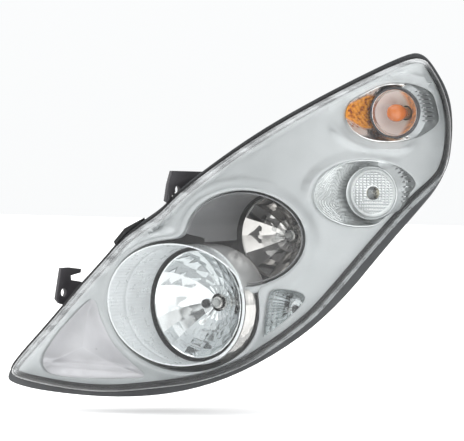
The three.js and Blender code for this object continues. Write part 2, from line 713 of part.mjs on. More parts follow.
function bracketSolid({ x, hole }, edge, foot) {
  const plate = plateX(edge, ...x);
  const rim = rodX(x[0] - 1.5, x[1], ...hole, BRACKET_HOLE + 3);
  const body = union(plate, rim, wallSkin(3.4).intersect(foot));
  return cut(body, rodX(x[0] - 10, x[1] + 10, ...hole, BRACKET_HOLE), housingOuter(0.8), lensGuard());
}

const OUTER_BRACKET = { low: [108, 290, 72], high: [140, 294, 114] };

function outerBracketSolid() {
  const { low, high } = OUTER_BRACKET;
  const ribs = [[72, 76], [110, 114]].map(([z0, z1]) => block([110, 255, z0], [136, 291, z1]));
  const body = union(block(low, high), ...ribs);
  return cut(body, rod({ x: 124, z: 93 }, 280, 300, 4), housingOuter(FIT_GAP));
}

const CLIP_EDGE = [[-146, -36], [-108, -6], [-113, 8], [-139, -6], [-153, -23]];

const topClipSolid = () => cut(prism(CLIP_EDGE, -76, -52), housingOuter(0.8), lensGuard());

// ---- Bulbs of the small lamps ----
const GLASS = {
  low: capsule(4, 48, 80.4, 6),
  high: capsule(4, 113, 145.4, 6),
  day: capsule(3, 166, 186, 5),
  turn: [[0, 193], [5, 194], [9.6, 197.5], [12, 204], [11, 210], [8, 216], [7, 221.6], [0, 221.6]],
  side: capsule(3, 84, 103, 4.6),
};

// ---- Assembly ----
const assembly = new THREE.Group();
assembly.position.set(...ORIGIN.map((value) => -value));

function place(name, body, material) {
  const part = new THREE.Mesh(geometryOf(body), material.clone());
  part.name = name;
  assembly.add(part);
}

place("housing", housingSolid(), MATERIAL.housing);
place("lens", lensSolid(), MATERIAL.lens);
place("lens_seal", sealSolid(), MATERIAL.black);
place("bezel", bezelSolid(), MATERIAL.silver);
place("cove_trim", coveSolid(), MATERIAL.chrome);
place("low_beam_hood", hoodSolid(), MATERIAL.silver);
place("low_beam_barrel", barrelSolid(), MATERIAL.chrome);
place("high_beam_tunnel", tunnelSolid(), MATERIAL.grey);
place("corner_reflector", cornerSolid(), MATERIAL.chrome);

place("low_reflector", lowReflectorSolid(), MATERIAL.chrome);
place("high_reflector", highReflectorSolid(), MATERIAL.chrome);
place("reflector_carrier", carrierSolid(), MATERIAL.black);
place("low_bulb_base", baseSolid(LOW, LOW_BOWL.apex), MATERIAL.steel);
place("high_bulb_base", baseSolid(HIGH, HIGH_BOWL.apex), MATERIAL.steel);
place("low_bulb_glass", bulb(LOW, GLASS.low), MATERIAL.glass);
place("high_bulb_glass", bulb(HIGH, GLASS.high), MATERIAL.glass);
place("low_bulb_plug", plugSolid(LOW, LOW_BOWL.apex), MATERIAL.black);
place("high_bulb_plug", plugSolid(HIGH, HIGH_BOWL.apex), MATERIAL.black);
place("low_bulb_clip", clipSolid(LOW, LOW_BOWL.apex), MATERIAL.steel);
place("high_bulb_clip", clipSolid(HIGH, HIGH_BOWL.apex), MATERIAL.steel);
place("pivot_ball_stud", pivotStudSolid(), MATERIAL.steel);
place("pivot_cup", socket(PIVOT, 8), MATERIAL.bracket);

place("daytime_reflector", pocketSolid(DAY, DAY_POCKET), MATERIAL.silver);
place("daytime_disc", tube(DAY, 175, 177.4, 9, 31.2), MATERIAL.silver);
place("daytime_bulb_glass", bulb(DAY, GLASS.day), MATERIAL.glass);
place("daytime_bulb_base", rod(DAY, 186.4, 201, 7.4, SMALL), MATERIAL.black);
place("daytime_holder", holderSolid(DAY, 201.4, HOLDER_SEAT.day, 290), MATERIAL.black);

place("indicator_reflector", pocketSolid(TURN, TURN_POCKET), MATERIAL.silver);
place("indicator_ring", tube(TURN, 197.4, 200.6, 26.4, 30.4), MATERIAL.grey);
place("indicator_bulb_glass", bulb(TURN, GLASS.turn), MATERIAL.amber);
place("indicator_bulb_base", rod(TURN, 222, 238, 7.8, COARSE), MATERIAL.brass);
place("indicator_holder", holderSolid(TURN, 238.4, HOLDER_SEAT.turn, 303), MATERIAL.black);

place("side_bulb_glass", bulb(SIDE, GLASS.side), MATERIAL.glass);
place("side_holder", union(rod(SIDE, 103.4, 108, 5.5, SMALL), rod(SIDE, 107, 118, 9, 12)), MATERIAL.black);

place("low_cap", capSolid(LOW, CAP_SEAT.low), MATERIAL.black);
place("low_cap_seal", tube(LOW, CAP_SEAT.low + 0.3, CAP_SEAT.low + 3, 45.5, 49.8, MEDIUM), MATERIAL.black);
place("high_cap", capSolid(HIGH, CAP_SEAT.high), MATERIAL.black);
place("high_cap_seal", tube(HIGH, CAP_SEAT.high + 0.3, CAP_SEAT.high + 3, 45.5, 49.8, MEDIUM), MATERIAL.black);
place("leveling_motor", motorSolid(), MATERIAL.black);
place("leveling_shaft", ballPin(LEVEL_AIM, 200, 3), MATERIAL.steel);
place("height_adjuster", adjusterSolid(), MATERIAL.grey);
place("side_adjuster", screwSolid(), MATERIAL.grey);
place("main_connector", connectorSolid(), MATERIAL.black);
place("vent_cap", ventSolid(), MATERIAL.black);
place("locating_peg", pegSolid(), MATERIAL.bracket);

const lowerFoot = block([-300, -60, -130], [-205, 40, -70]);
const upperFoot = block([-112, 6, 12], [-82, 66, 80]);
place("lower_bracket", bracketSolid(LOWER, LOWER_EDGE, lowerFoot), MATERIAL.bracket);
place("upper_bracket", bracketSolid(UPPER, UPPER_EDGE, upperFoot), MATERIAL.bracket);
place("outer_bracket", outerBracketSolid(), MATERIAL.bracket);
place("top_clip", topClipSolid(), MATERIAL.black);

export default assembly;
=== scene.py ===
"""Car headlight assembly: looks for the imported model. Millimetres in the lamp's own frame until a mesh is made."""
import json
import math

import bmesh
import bpy
import numpy as np
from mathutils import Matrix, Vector, geometry

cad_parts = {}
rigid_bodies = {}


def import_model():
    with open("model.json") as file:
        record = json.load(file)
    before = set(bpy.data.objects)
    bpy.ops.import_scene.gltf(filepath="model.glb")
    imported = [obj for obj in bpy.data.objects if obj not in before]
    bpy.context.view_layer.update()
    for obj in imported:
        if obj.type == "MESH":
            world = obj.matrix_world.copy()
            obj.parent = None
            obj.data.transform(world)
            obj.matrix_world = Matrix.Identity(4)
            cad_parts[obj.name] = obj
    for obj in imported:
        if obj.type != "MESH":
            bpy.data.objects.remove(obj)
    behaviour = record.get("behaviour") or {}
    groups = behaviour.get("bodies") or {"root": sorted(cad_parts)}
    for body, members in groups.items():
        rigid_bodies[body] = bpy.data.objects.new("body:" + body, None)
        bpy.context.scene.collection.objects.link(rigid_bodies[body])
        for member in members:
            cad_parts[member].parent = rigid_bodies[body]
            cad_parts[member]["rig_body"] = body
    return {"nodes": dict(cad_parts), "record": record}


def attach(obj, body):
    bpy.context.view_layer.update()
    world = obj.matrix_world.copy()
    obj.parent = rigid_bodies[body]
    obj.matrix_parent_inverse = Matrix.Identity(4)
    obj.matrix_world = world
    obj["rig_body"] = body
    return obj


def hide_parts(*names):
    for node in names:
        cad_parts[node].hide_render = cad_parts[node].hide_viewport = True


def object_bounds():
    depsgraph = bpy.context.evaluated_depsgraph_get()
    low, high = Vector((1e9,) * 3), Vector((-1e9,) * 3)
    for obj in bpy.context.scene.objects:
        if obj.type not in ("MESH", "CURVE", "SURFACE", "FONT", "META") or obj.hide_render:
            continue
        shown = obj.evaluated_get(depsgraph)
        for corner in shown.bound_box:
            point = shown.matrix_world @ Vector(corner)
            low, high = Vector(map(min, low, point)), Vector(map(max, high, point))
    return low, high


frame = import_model()
CAD_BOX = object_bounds()
NODES = frame["nodes"]
FINISHES = {}  # the materials by name
SLOTS = {part["node"]: part["material_slot"] for part in frame["record"]["subparts"]}

# ---- Frame of the lamp, as in the CAD ----
ORIGIN = np.array([-88.0, 26.0, 60.0])  # the row's origin in the lamp's own frame
SWEEP = math.radians(36)
COS, SIN = math.cos(SWEEP), math.sin(SWEEP)
OUT = np.array([SIN, -COS, 0])  # the way the face looks
BOW_U, BOW_V = 0.00089, 0.0006
FACE_CENTRE = np.array([20.0, -20.0])

RIM = np.array([
    (-302, -208), (-296, -218), (-253, -227), (-157, -233), (-73, -226), (6, -202), (86, -156),
    (146, -104), (206, -32), (246, 12), (278, 48), (294, 84), (299, 132), (294, 172), (274, 208),
    (258, 226), (238, 226), (166, 192), (86, 150), (26, 114), (-33, 72), (-73, 40), (-90, 20),
    (-137, -10), (-165, -44), (-197, -80), (-241, -132), (-281, -176)], float)
LENS_EDGE = np.array([
    (-296, -200), (-286, -209), (-241, -217), (-199, -222), (-157, -223), (-111, -218), (-44, -209),
    (12, -189), (57, -160), (90, -136), (117, -113), (195, -22), (243, 29), (277, 57), (289, 77),
    (294, 109), (294, 144), (284, 180), (267, 209), (259, 218), (238, 219), (166, 186), (86, 144),
    (26, 108), (-33, 67), (-73, 35), (-92, 13), (-138, -16), (-167, -50), (-200, -86), (-242, -136),
    (-280, -178)], float)
LOW, HIGH, DAY, TURN, SIDE = (-80, -107), (-7, -18), (106, 40), (122.6, 146), (30, -113)
BEZEL_DEPTH = 30


def to_lamp(u, w, v):
    return np.stack([u * COS + w * SIN, u * SIN - w * COS, np.broadcast_to(v, np.shape(u + w))], -1)


def crown(u, v):
    return -BOW_U * u * u - BOW_V * v * v


def surface_y(x, z, back):
    """Depth y at which a line along Y through x, z meets the crown moved back."""
    x, z = np.asarray(x, float), np.asarray(z, float)
    y = np.zeros(np.broadcast(x, z).shape)
    for _ in range(12):
        u = x * COS + y * SIN
        miss = x * SIN - y * COS - crown(u, z) + back
        y = y + miss / (COS - 2 * BOW_U * u * SIN)
    return y


def unit(v):
    return v / np.linalg.norm(v, axis=-1)[..., None]


# ---- Outlines in the styling frame. They run anticlockwise. ----
def evenly(p, count):
    closed = np.vstack([p, p[:1]])
    run = np.concatenate([[0], np.cumsum(np.linalg.norm(np.diff(closed, axis=0), axis=1))])
    at = np.linspace(0, run[-1], count, endpoint=False)
    return np.stack([np.interp(at, run, closed[:, k]) for k in (0, 1)], 1)


def eased(outline, count, rounds=3):
    """The outline with its corners rounded, as evenly spaced points."""
    p = np.asarray(outline, float)
    for _ in range(rounds):
        q = np.roll(p, -1, 0)
        p = np.stack([0.75 * p + 0.25 * q, 0.25 * p + 0.75 * q], 1).reshape(-1, 2)
    return evenly(p, count)


def distance(points, outline):
    """How far each point is from the nearest point of a dense outline."""
    near = np.empty(len(points))
    for k in range(0, len(points), 500):
        gap = points[k:k + 500, None, :] - outline[None, :, :]
        near[k:k + 500] = np.sqrt((gap ** 2).sum(-1)).min(1)
    return near


def inwards(along):
    """The unit directions to the left of a line's directions."""
    along = unit(along)
    return np.stack([-along[:, 1], along[:, 0]], 1)


def inset(p, depth):
    """A dense outline moved inwards by a depth, or outwards by a negative one, with no crossings."""
    if not depth:
        return p
    moved = p + inwards(np.roll(p, -1, 0) - np.roll(p, 1, 0)) * depth
    return moved[distance(moved, p) > abs(depth) * 0.985]


def polar(p, centre):
    """Bearings and distances of points from a centre, in the order of their bearings."""
    gap = p - np.asarray(centre)
    angle = np.arctan2(gap[:, 1], gap[:, 0])
    order = np.argsort(angle)
    return angle[order], np.linalg.norm(gap, axis=1)[order]


def at_bearings(p):
    """The points of an outline that are seen from the face's centre at BEARINGS."""
    angle, radius = polar(p, FACE_CENTRE)
    angle = np.concatenate([angle - 2 * math.pi, angle, angle + 2 * math.pi])
    radius = np.interp(BEARINGS, angle, np.tile(radius, 3))
    return around(FACE_CENTRE, radius, 0, BEARINGS)[:, [0, 2]]


def scaled(p, centre, k):
    return np.asarray(centre) + (p - centre) * k


def full_turn(count):
    """Evenly spaced bearings."""
    return np.linspace(0, 2 * math.pi, count, endpoint=False)


def around(axis, radius, y, at):
    """Points about a lamp's axis at bearings."""
    return np.stack([axis[0] + radius * np.cos(at), y + 0 * at, axis[1] + radius * np.sin(at)], -1)


def inside(points, outline):
    """Which points lie inside an outline."""
    x, y = points[:, 0], points[:, 1]
    hit = np.zeros(len(points), bool)
    for (x0, y0), (x1, y1) in zip(outline, np.roll(outline, -1, 0)):
        if y0 != y1:
            crosses = (y0 > y) != (y1 > y)
            hit ^= crosses & (x < (x1 - x0) * (y - y0) / (y1 - y0) + x0)
    return hit


def behind_bezel(points, gap):
    """Depth y of points that stand behind the bezel's face by a gap along y."""
    return surface_y(points[:, 0], points[:, 2], BEZEL_DEPTH) + gap


def lattice(spacing, shift=0.0):
    """Points all over the face, with every second row shifted."""
    u, v = np.meshgrid(np.arange(-300, 301, spacing), np.arange(-226, 227, spacing))
    u += (np.arange(len(u)) % 2 * shift)[:, None]
    return np.stack([u.ravel(), v.ravel()], 1)


def between(points, outlines):
    """Which points lie inside the first outline and outside the others."""
    return inside(points, outlines[0]) & ~np.any([inside(points, hole) for hole in outlines[1:]], axis=0)


def on_crown(p, back):
    """Points of an outline on the crown moved back, in the lamp's frame."""
    return to_lamp(p[:, 0], crown(p[:, 0], p[:, 1]) - back, p[:, 1])


# ---- Meshes: pairs of points and faces ----
def stand_in(obj, node, replaces):
    """An object stands for a CAD node, or sits on it, and moves with its body."""
    if replaces:
        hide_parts(node)
    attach(obj, NODES[node]["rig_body"])


def piece(name, mesh, node, finish=None, smooth=32, replaces=True):
    """A visible mesh with its faces turned outwards. Its finish is the node's own unless one is named."""
    points, faces = mesh
    points = (np.asarray(points, float) - ORIGIN) / 1000
    fans = np.array([(f[0], f[k], f[k + 1]) for f in faces for k in range(1, len(f) - 1)])
    if np.einsum("ij,ij->", points[fans[:, 0]], np.cross(points[fans[:, 1]], points[fans[:, 2]])) < 0:
        faces = [f[::-1] for f in faces]
    mesh = bpy.data.meshes.new(name)
    mesh.from_pydata(points.tolist(), [], faces)
    mesh.validate()
    mesh.shade_smooth()
    mesh.set_sharp_from_angle(angle=math.radians(smooth))
    mesh.materials.append(FINISHES[finish or SLOTS[node]])
    obj = bpy.data.objects.new(name, mesh)
    bpy.context.scene.collection.objects.link(obj)
    stand_in(obj, node, replaces)
    return obj


def quads(a, b, c, d):
    """Faces from four equal grids of point numbers."""
    return [tuple(face) for face in np.stack([a, b, c, d], -1).reshape(-1, 4).tolist()]


def strips(rings, closed_loop=False):
    """A skin through rings of equal count."""
    n = np.arange(len(rings) * len(rings[0])).reshape(len(rings), -1)
    n = np.hstack([n, n[:, :1]])
    if closed_loop:
        n = np.vstack([n, n[:1]])
    return np.concatenate(rings), quads(n[:-1, :-1], n[:-1, 1:], n[1:, 1:], n[1:, :-1])


def capped(rings, ends=None):
    """A skin through rings, closed at its two ends by fans about their middles."""
    points, faces = strips(rings)
    count, total = len(rings[0]), len(points)
    ends = [rings[0].mean(0), rings[-1].mean(0)] if ends is None else ends
    faces += [(total, (i + 1) % count, i) for i in range(count)]
    last = total - count
    faces += [(last + i, last + (i + 1) % count, total + 1) for i in range(count)]
    return np.vstack([points, ends]), faces


def plate(front, back, loop=False):
    """A closed shell from two grids of points, rows by columns, a wall apart. A loop joins the last column
    to the first."""
    skins = np.array([front, back])[:, :, ::-1]
    n = np.arange(skins[..., 0].size).reshape(skins.shape[:3])
    if loop:
        n = np.concatenate([n, n[:, :, :1]], 2)
    f, b = n
    faces = quads(f[:-1, :-1], f[:-1, 1:], f[1:, 1:], f[1:, :-1])
    faces += quads(b[1:, :-1], b[1:, 1:], b[:-1, 1:], b[:-1, :-1])
    faces += quads(f[0, 1:], f[0, :-1], b[0, :-1], b[0, 1:]) + quads(f[-1, :-1], f[-1, 1:], b[-1, 1:], b[-1, :-1])
    if not loop:
        faces += quads(f[:-1, 0], f[1:, 0], b[1:, 0], b[:-1, 0])
        faces += quads(f[1:, -1], f[:-1, -1], b[:-1, -1], b[1:, -1])
    return skins.reshape(-1, 3), faces


def turned(name, axis, profile, node, finish=None, sides=96, smooth=32, replaces=False):
    """A ring turned about a lamp's axis from a closed profile of radius and y."""
    at = full_turn(sides)
    mesh = strips([around(axis, r, y, at) for r, y in profile], closed_loop=True)
    piece(name, mesh, node, finish, smooth, replaces)


def lathe(name, axis, profile, node, finish=None, sides=64, replaces=True):
    """A body turned about a lamp's axis and closed at both ends."""
    at = full_turn(sides)
    piece(name, capped([around(axis, r, y, at) for r, y in profile]), node, finish, 40, replaces)


def fill(outlines, grid, clearances):
    """Triangles between the first outline and the others, over the points of a grid that keep clear of them."""
    free = between(grid, outlines)
    for outline, clearance in zip(outlines, clearances):
        free &= distance(grid, outline) > clearance
    places = np.vstack(outlines + [grid[free]])
    edges, base = [], 0
    for ring in outlines:
        edges += [(base + i, base + (i + 1) % len(ring)) for i in range(len(ring))]
        base += len(ring)
    found, _, faces, *_ = geometry.delaunay_2d_cdt([Vector(p) for p in places], edges, [], 0, 1e-5)
    assert len(found) == len(places), "outlines cross"
    keep = between(np.array([places[list(f)].mean(0) for f in faces]), outlines)
    faces = [tuple(f) for f, k in zip(faces, keep) if k]
    area = {f: np.cross(places[f[1]] - places[f[0]], places[f[2]] - places[f[0]]) for f in faces}
    beside = {}
    for f in faces:
        for a, b in zip(f, f[1:] + f[:1]):
            beside.setdefault(frozenset((a, b)), []).append(f)
    for edge in edges:  # a sliver on the wrong side of an outline has no place
        both = [f for f in beside.get(frozenset(edge), []) if f in area]
        if len(both) > 1:
            area.pop(min(both, key=lambda f: abs(area[f])))
    return places, [f if turn > 0 else f[::-1] for f, turn in area.items()]


def shell(skin, rear, faces, walls):
    """Two skins with the same faces, joined along each outline by a wall: its point count and its rings."""
    total = len(skin)
    points = [skin, rear]
    faces = faces + [tuple(total + i for i in f[::-1]) for f in faces]
    base, offset = 0, 2 * total
    for size, rings in walls:
        lines = [base + np.arange(size)]
        for _ in rings:
            lines.append(offset + np.arange(size))
            offset += size
        lines.append(total + base + np.arange(size))
        if base == 0:  # only the first outline has the skins inside it
            pairs = zip(lines[1:], lines)
        else:
            pairs = zip(lines, lines[1:])
        for a, b in pairs:
            faces += quads(a, np.roll(a, -1), np.roll(b, -1), b)
        points += rings
        base += size
    return np.vstack(points), faces


# ---- Materials ----
class Nodes:
    """A short way to write the nodes of a material or a world."""

    def __init__(self, owner, place="Object"):
        owner.use_nodes = True
        self.tree = owner.node_tree
        self.shader = self.tree.nodes.get("Principled BSDF")
        self.place = self.tree.nodes.new("ShaderNodeTexCoord").outputs[place]

    def feed(self, socket, value):
        if isinstance(value, bpy.types.NodeSocket):
            self.tree.links.new(value, socket)
        else:
            socket.default_value = value

    def add(self, kind, inputs, **settings):
        """A node with its settings and its inputs, each a link or a value."""
        node = self.tree.nodes.new("ShaderNode" + kind)
        for key, value in settings.items():
            setattr(node, key, value)
        for key, value in inputs.items():
            self.feed(node.inputs[key], value)
        return node

    def set(self, **values):
        """Links or values for the shader's own sockets."""
        for key, value in values.items():
            self.feed(self.shader.inputs[key.replace("_", " ")], value)

    def math(self, operation, *values):
        return self.add("Math", dict(enumerate(values)), operation=operation).outputs[0]

    def vector(self, operation, *values):
        node = self.add("VectorMath", dict(enumerate(values)), operation=operation)
        return node.outputs["Value" if operation in ("DOT_PRODUCT", "LENGTH") else "Vector"]

    def noise(self, scale, detail=3, roughness=0.55, stretch=None):
        place = self.place
        if stretch:
            place = self.add("Mapping", {"Vector": place, "Scale": stretch}).outputs[0]
        return self.add("TexNoise", {"Vector": place, "Scale": scale, "Detail": detail,
                                     "Roughness": roughness}).outputs["Fac"]

    def spread(self, value, low, high, start=0.3, end=0.7, **settings):
        """Maps a texture's values from start..end to low..high."""
        return self.add("MapRange", {"Value": value, "From Min": start, "From Max": end, "To Min": low,
                                     "To Max": high}, **settings).outputs[0]

    def mix(self, factor, a, b):
        a, b = ((*c, 1) if isinstance(c, tuple) else c for c in (a, b))
        return self.add("Mix", {0: factor, 6: a, 7: b}, data_type="RGBA").outputs[2]

    def bump(self, heights):
        """Bumps the surface by one texture after another, each to its own share of the depth."""
        normal = {}
        for height, share in heights:
            normal = {"Normal": self.add("Bump", {"Height": height, "Distance": 0.0002 * share, "Strength": 0.5,
                                                  **normal}).outputs[0]}
        self.set(**normal)


def finish(name):
    """The nodes of a new finish."""
    FINISHES[name] = bpy.data.materials.new(name)
    return Nodes(FINISHES[name])


def plastic(name, dark, light, rough, grain, depth, coat=0):
    """Moulded plastic: faint clouding, a fine grain and handling marks."""
    n = finish(name)
    n.set(Base_Color=n.mix(n.spread(n.noise(14, 4), 0, 1), dark, light), Coat_Weight=coat,
          Roughness=n.spread(n.noise(60, 5), rough - 0.07, rough + 0.09))
    n.bump([(n.noise(grain, 2), depth), (n.noise(35, 3), 0.5)])


def metal(name, dark, light, rough, grain, depth, metallic=1.0, wave=0.3):
    """Plated or painted metal: slight unevenness, fine specks and soft marks in the gloss."""
    n = finish(name)
    n.set(Base_Color=n.mix(n.spread(n.noise(22, 4), 0, 1), dark, light), Metallic=metallic,
          Roughness=n.spread(n.noise(90, 5), rough * 0.75, rough * 1.3))
    n.bump([(n.noise(grain, 2), depth), (n.noise(18, 2), wave)])


def clear(name, tint, gloss, film, skirt=0.0):
    """Thin clear moulding: it lets light straight through and mirrors at a slant, with a faint haze of dust.
    A skirt adds haze in streaks to the shoulder: partly a frosted edge, partly painted light, as it is kept to the side
    that faces up, where light falls."""
    n = finish(name)
    n.tree.nodes.remove(n.shader)
    through = n.add("BsdfTransparent", {"Color": (*tint, 1)})
    dust = n.add("BsdfDiffuse", {"Color": (0.75, 0.77, 0.78, 1)})
    ripple = n.add("Bump", {"Height": n.noise(30, 2), "Distance": 0.0002, "Strength": 0.25}).outputs[0]
    mirror = n.add("BsdfGlossy", {"Roughness": 0.02, "Normal": ripple})
    surface = n.add("NewGeometry", {}).outputs
    front = n.math("SUBTRACT", 1, surface["Backfacing"])
    fresnel = n.math("MULTIPLY", n.add("Fresnel", {"Normal": ripple, "IOR": gloss}).outputs[0], front)
    haze = n.spread(n.noise(45, 6, 0.65), film * 0.3, film)
    if skirt:
        facing = n.math("ABSOLUTE", n.vector("DOT_PRODUCT", surface["Normal"], OUT))
        # Painted light: the skirt's white haze is kept to the shoulder that faces up, where light falls, so that this
        # side shows lighter.
        painted_light_side = n.vector("DOT_PRODUCT", surface["Normal"], (-0.55 * COS, -0.55 * SIN, 0.83))
        streaks = n.spread(n.noise(70, 3, stretch=(0.25, 0.25, 1)), 0.35, 1, 0.35, 0.6)
        side = n.math("MULTIPLY", n.spread(facing, skirt, 0, 0.30, 0.93), streaks)
        haze = n.math("MAXIMUM", haze, n.math("MULTIPLY", side, n.spread(painted_light_side, 0, 1, -0.1, 0.35)))
    hazy = n.add("MixShader", {0: haze, 1: through.outputs[0], 2: dust.outputs[0]})
    glazed = n.add("MixShader", {0: fresnel, 1: hazy.outputs[0], 2: mirror.outputs[0]})
    n.feed(n.tree.nodes["Material Output"].inputs["Surface"], glazed.outputs[0])


def bezel_paint_with_painted_light():
    """Satin silver with painted light: its colour grows lighter towards the small lamps, a gradient standing in for how
    light falls across the bezel.
    """
    n = finish("bezel_silver")
    # Painted light: both tones shift lighter towards the upper right of the face, a painted gradient of light and
    # shade.
    along = n.spread(n.vector("DOT_PRODUCT", n.place, (0.62 * COS, 0.62 * SIN, 0.78)), 0, 1, -0.10, 0.24)
    dark = n.mix(along, (0.365, 0.38, 0.385), (0.475, 0.49, 0.495))
    light = n.mix(along, (0.415, 0.43, 0.435), (0.535, 0.55, 0.555))
    n.set(Base_Color=n.mix(n.spread(n.noise(22, 4), 0, 1), dark, light), Metallic=0.65,
          Roughness=n.spread(n.noise(90, 5), 0.29, 0.46))
    n.bump([(n.noise(1600, 2), 0.04), (n.noise(18, 2), 0.12)])


def indicator_painted_reflection():
    """Plated wall with a painted reflection of the amber bulb: amber painted on its inner side, in stippled patches,
    and in its bowl.
    """
    n = finish("indicator_silver")
    split = n.add("SeparateXYZ", {"Vector": n.place}).outputs
    lamp_x, lamp_z = (TURN[0] - ORIGIN[0]) / 1000, (TURN[1] - ORIGIN[2]) / 1000
    height = n.math("ABSOLUTE", n.math("SUBTRACT", split["Z"], lamp_z + 0.001))
    half_width = n.spread(split["Y"], 0.003, 0.024, (126 - ORIGIN[1]) / 1000, (176 - ORIGIN[1]) / 1000)
    flat = n.vector("MULTIPLY", n.vector("SUBTRACT", n.place, (lamp_x, 0, lamp_z)), (1, 0, 1))
    reach = n.vector("LENGTH", flat)
    # Painted reflection: amber is painted where the bulb would be mirrored, on the inner side of the wall and across
    # the bowl, not reflected.
    painted_reflection_mask = n.spread(n.math("SUBTRACT", half_width, height), 0, 1, -0.001, 0.0035)
    for share in (n.spread(split["X"], 1, 0, lamp_x - 0.024, lamp_x - 0.012),
                  n.spread(split["Y"], 1, 0, 0.1935, 0.1965), n.spread(reach, 0, 1, 0.0312, 0.0322)):
        painted_reflection_mask = n.math("MULTIPLY", painted_reflection_mask, share)
    in_bowl = n.spread(reach, 1, 0, 0.0285, 0.0295)
    shown = n.math("MULTIPLY", n.spread(split["X"], 0, 0.8, lamp_x + 0.001, lamp_x + 0.008), in_bowl)
    painted_reflection_mask = n.math("MAXIMUM", painted_reflection_mask, shown)
    stipple = n.spread(n.noise(210, 2, stretch=(1, 0.5, 1)), 0, 1, 0.34, 0.54)
    # The painted reflection's amber colours, in stippled patches.
    amber = n.mix(stipple, (0.30, 0.06, 0.004), (0.92, 0.38, 0.03))
    gloss = n.spread(n.noise(90, 4), 0.09, 0.17)
    n.set(Base_Color=n.mix(painted_reflection_mask, (0.86, 0.85, 0.84), amber),
          Roughness=n.math("ADD", gloss, n.spread(in_bowl, 0, 0.26, 0, 1)),
          Metallic=n.spread(n.math("MAXIMUM", painted_reflection_mask, in_bowl), 1.0, 0.35, 0, 1))
    n.bump([(n.noise(900, 2), 0.06), (n.noise(240, 2, stretch=(1, 1, 0.12)), 0.5)])


PLASTICS = {  # dark and light colour, roughness, grain's scale and depth, coat
    "housing_plastic": ((0.030, 0.032, 0.035), (0.052, 0.055, 0.058), 0.48, 1300, 0.5),
    "seal_black": ((0.004, 0.004, 0.005), (0.010, 0.010, 0.011), 0.55, 1800, 0.6),
    "tunnel_grey": ((0.145, 0.145, 0.15), (0.18, 0.18, 0.185), 0.36, 1400, 0.2),
    "carrier_black": ((0.015, 0.015, 0.017), (0.028, 0.028, 0.03), 0.5, 1200, 0.4),
    "amber_glass": ((0.52, 0.115, 0.008), (0.64, 0.17, 0.012), 0.12, 500, 0.05, 0.8),
    "connector_black": ((0.012, 0.012, 0.013), (0.022, 0.022, 0.024), 0.42, 1500, 0.4),
    "bracket_plastic": ((0.045, 0.043, 0.047), (0.068, 0.065, 0.070), 0.5, 1100, 0.5),
    "cap_black": ((0.02, 0.02, 0.022), (0.035, 0.035, 0.038), 0.5, 1200, 0.45),
    "cap_rubber": ((0.012, 0.012, 0.012), (0.022, 0.022, 0.022), 0.65, 1800, 0.6),
    "pin_plastic": ((0.62, 0.60, 0.55), (0.72, 0.70, 0.65), 0.4, 1200, 0.25),
    "adjuster_grey": ((0.36, 0.37, 0.38), (0.46, 0.47, 0.48), 0.45, 1200, 0.35),
    # groove_grey is painted shade for the ledges' grooves.
    "groove_grey": ((0.07, 0.07, 0.075), (0.12, 0.12, 0.125), 0.35, 900, 0.1),
    # ring_dark is painted shade for the ring at the indicator tube's front.
    "ring_dark": ((0.03, 0.03, 0.035), (0.06, 0.06, 0.065), 0.3, 900, 0.1),
    "bulb_white": ((0.55, 0.54, 0.52), (0.72, 0.71, 0.69), 0.35, 700, 0.3),
    "tip_black": ((0.008, 0.008, 0.009), (0.018, 0.018, 0.02), 0.35, 900, 0.1),
}
METALS = {  # dark and light colour, roughness, grain's scale and depth, metallic, depth of the waves
    "satin_silver": ((0.385, 0.40, 0.405), (0.435, 0.45, 0.455), 0.36, 1600, 0.08, 0.65, 0.12),
    "bright_silver": ((0.68, 0.70, 0.71), (0.77, 0.79, 0.79), 0.05, 900, 0.02, 1.0, 0.12),
    "hood_silver": ((0.68, 0.70, 0.71), (0.75, 0.77, 0.78), 0.30, 1200, 0.05, 0.3, 0.1),
    "barrel_silver": ((0.62, 0.62, 0.62), (0.70, 0.70, 0.70), 0.18, 900, 0.04, 0.45, 0.2),
    "deep_chrome": ((0.50, 0.48, 0.46), (0.66, 0.64, 0.62), 0.05, 900, 0.02, 1.0, 0.15),
    "bulb_steel": ((0.52, 0.51, 0.49), (0.66, 0.65, 0.62), 0.26, 900, 0.1),
    "bulb_brass": ((0.55, 0.47, 0.33), (0.72, 0.65, 0.50), 0.28, 900, 0.15),
    "pattern_silver": ((0.56, 0.58, 0.58), (0.70, 0.71, 0.71), 0.14, 700, 0.1),
    "pocket_silver": ((0.68, 0.70, 0.70), (0.78, 0.80, 0.80), 0.15, 900, 0.06, 0.6),
    "cove_silver": ((0.47, 0.465, 0.48), (0.55, 0.54, 0.56), 0.42, 1000, 0.03, 0.6, 0.03),
}
for name, look in PLASTICS.items():
    plastic(name, *look)
for name, look in METALS.items():
    metal(name, *look)
clear("lens_clear", (0.985, 0.99, 0.99), 1.5, 0.008, 0.55)
clear("bulb_glass", (0.95, 0.96, 0.96), 1.55, 0.16)
bezel_paint_with_painted_light()
indicator_painted_reflection()
for node, obj in NODES.items():
    obj.data.materials.clear()
    obj.data.materials.append(FINISHES[SLOTS[node]])


# ---- Lens, seal and bezel ----
EDGE = eased(LENS_EDGE, 2200)
SPREAD = evenly(EDGE, 440) - FACE_CENTRE
BEARINGS = np.arctan2(SPREAD[:, 1], SPREAD[:, 0])
SHOULDER_FROM = np.array([150.0, -110.0])  # the lens shoulder is wide on the side away from here
LENS_WALL = 3
REAR_FACE = BEZEL_DEPTH + 2.5


def edge_ring(depth_in):
    return at_bearings(inset(EDGE, depth_in))


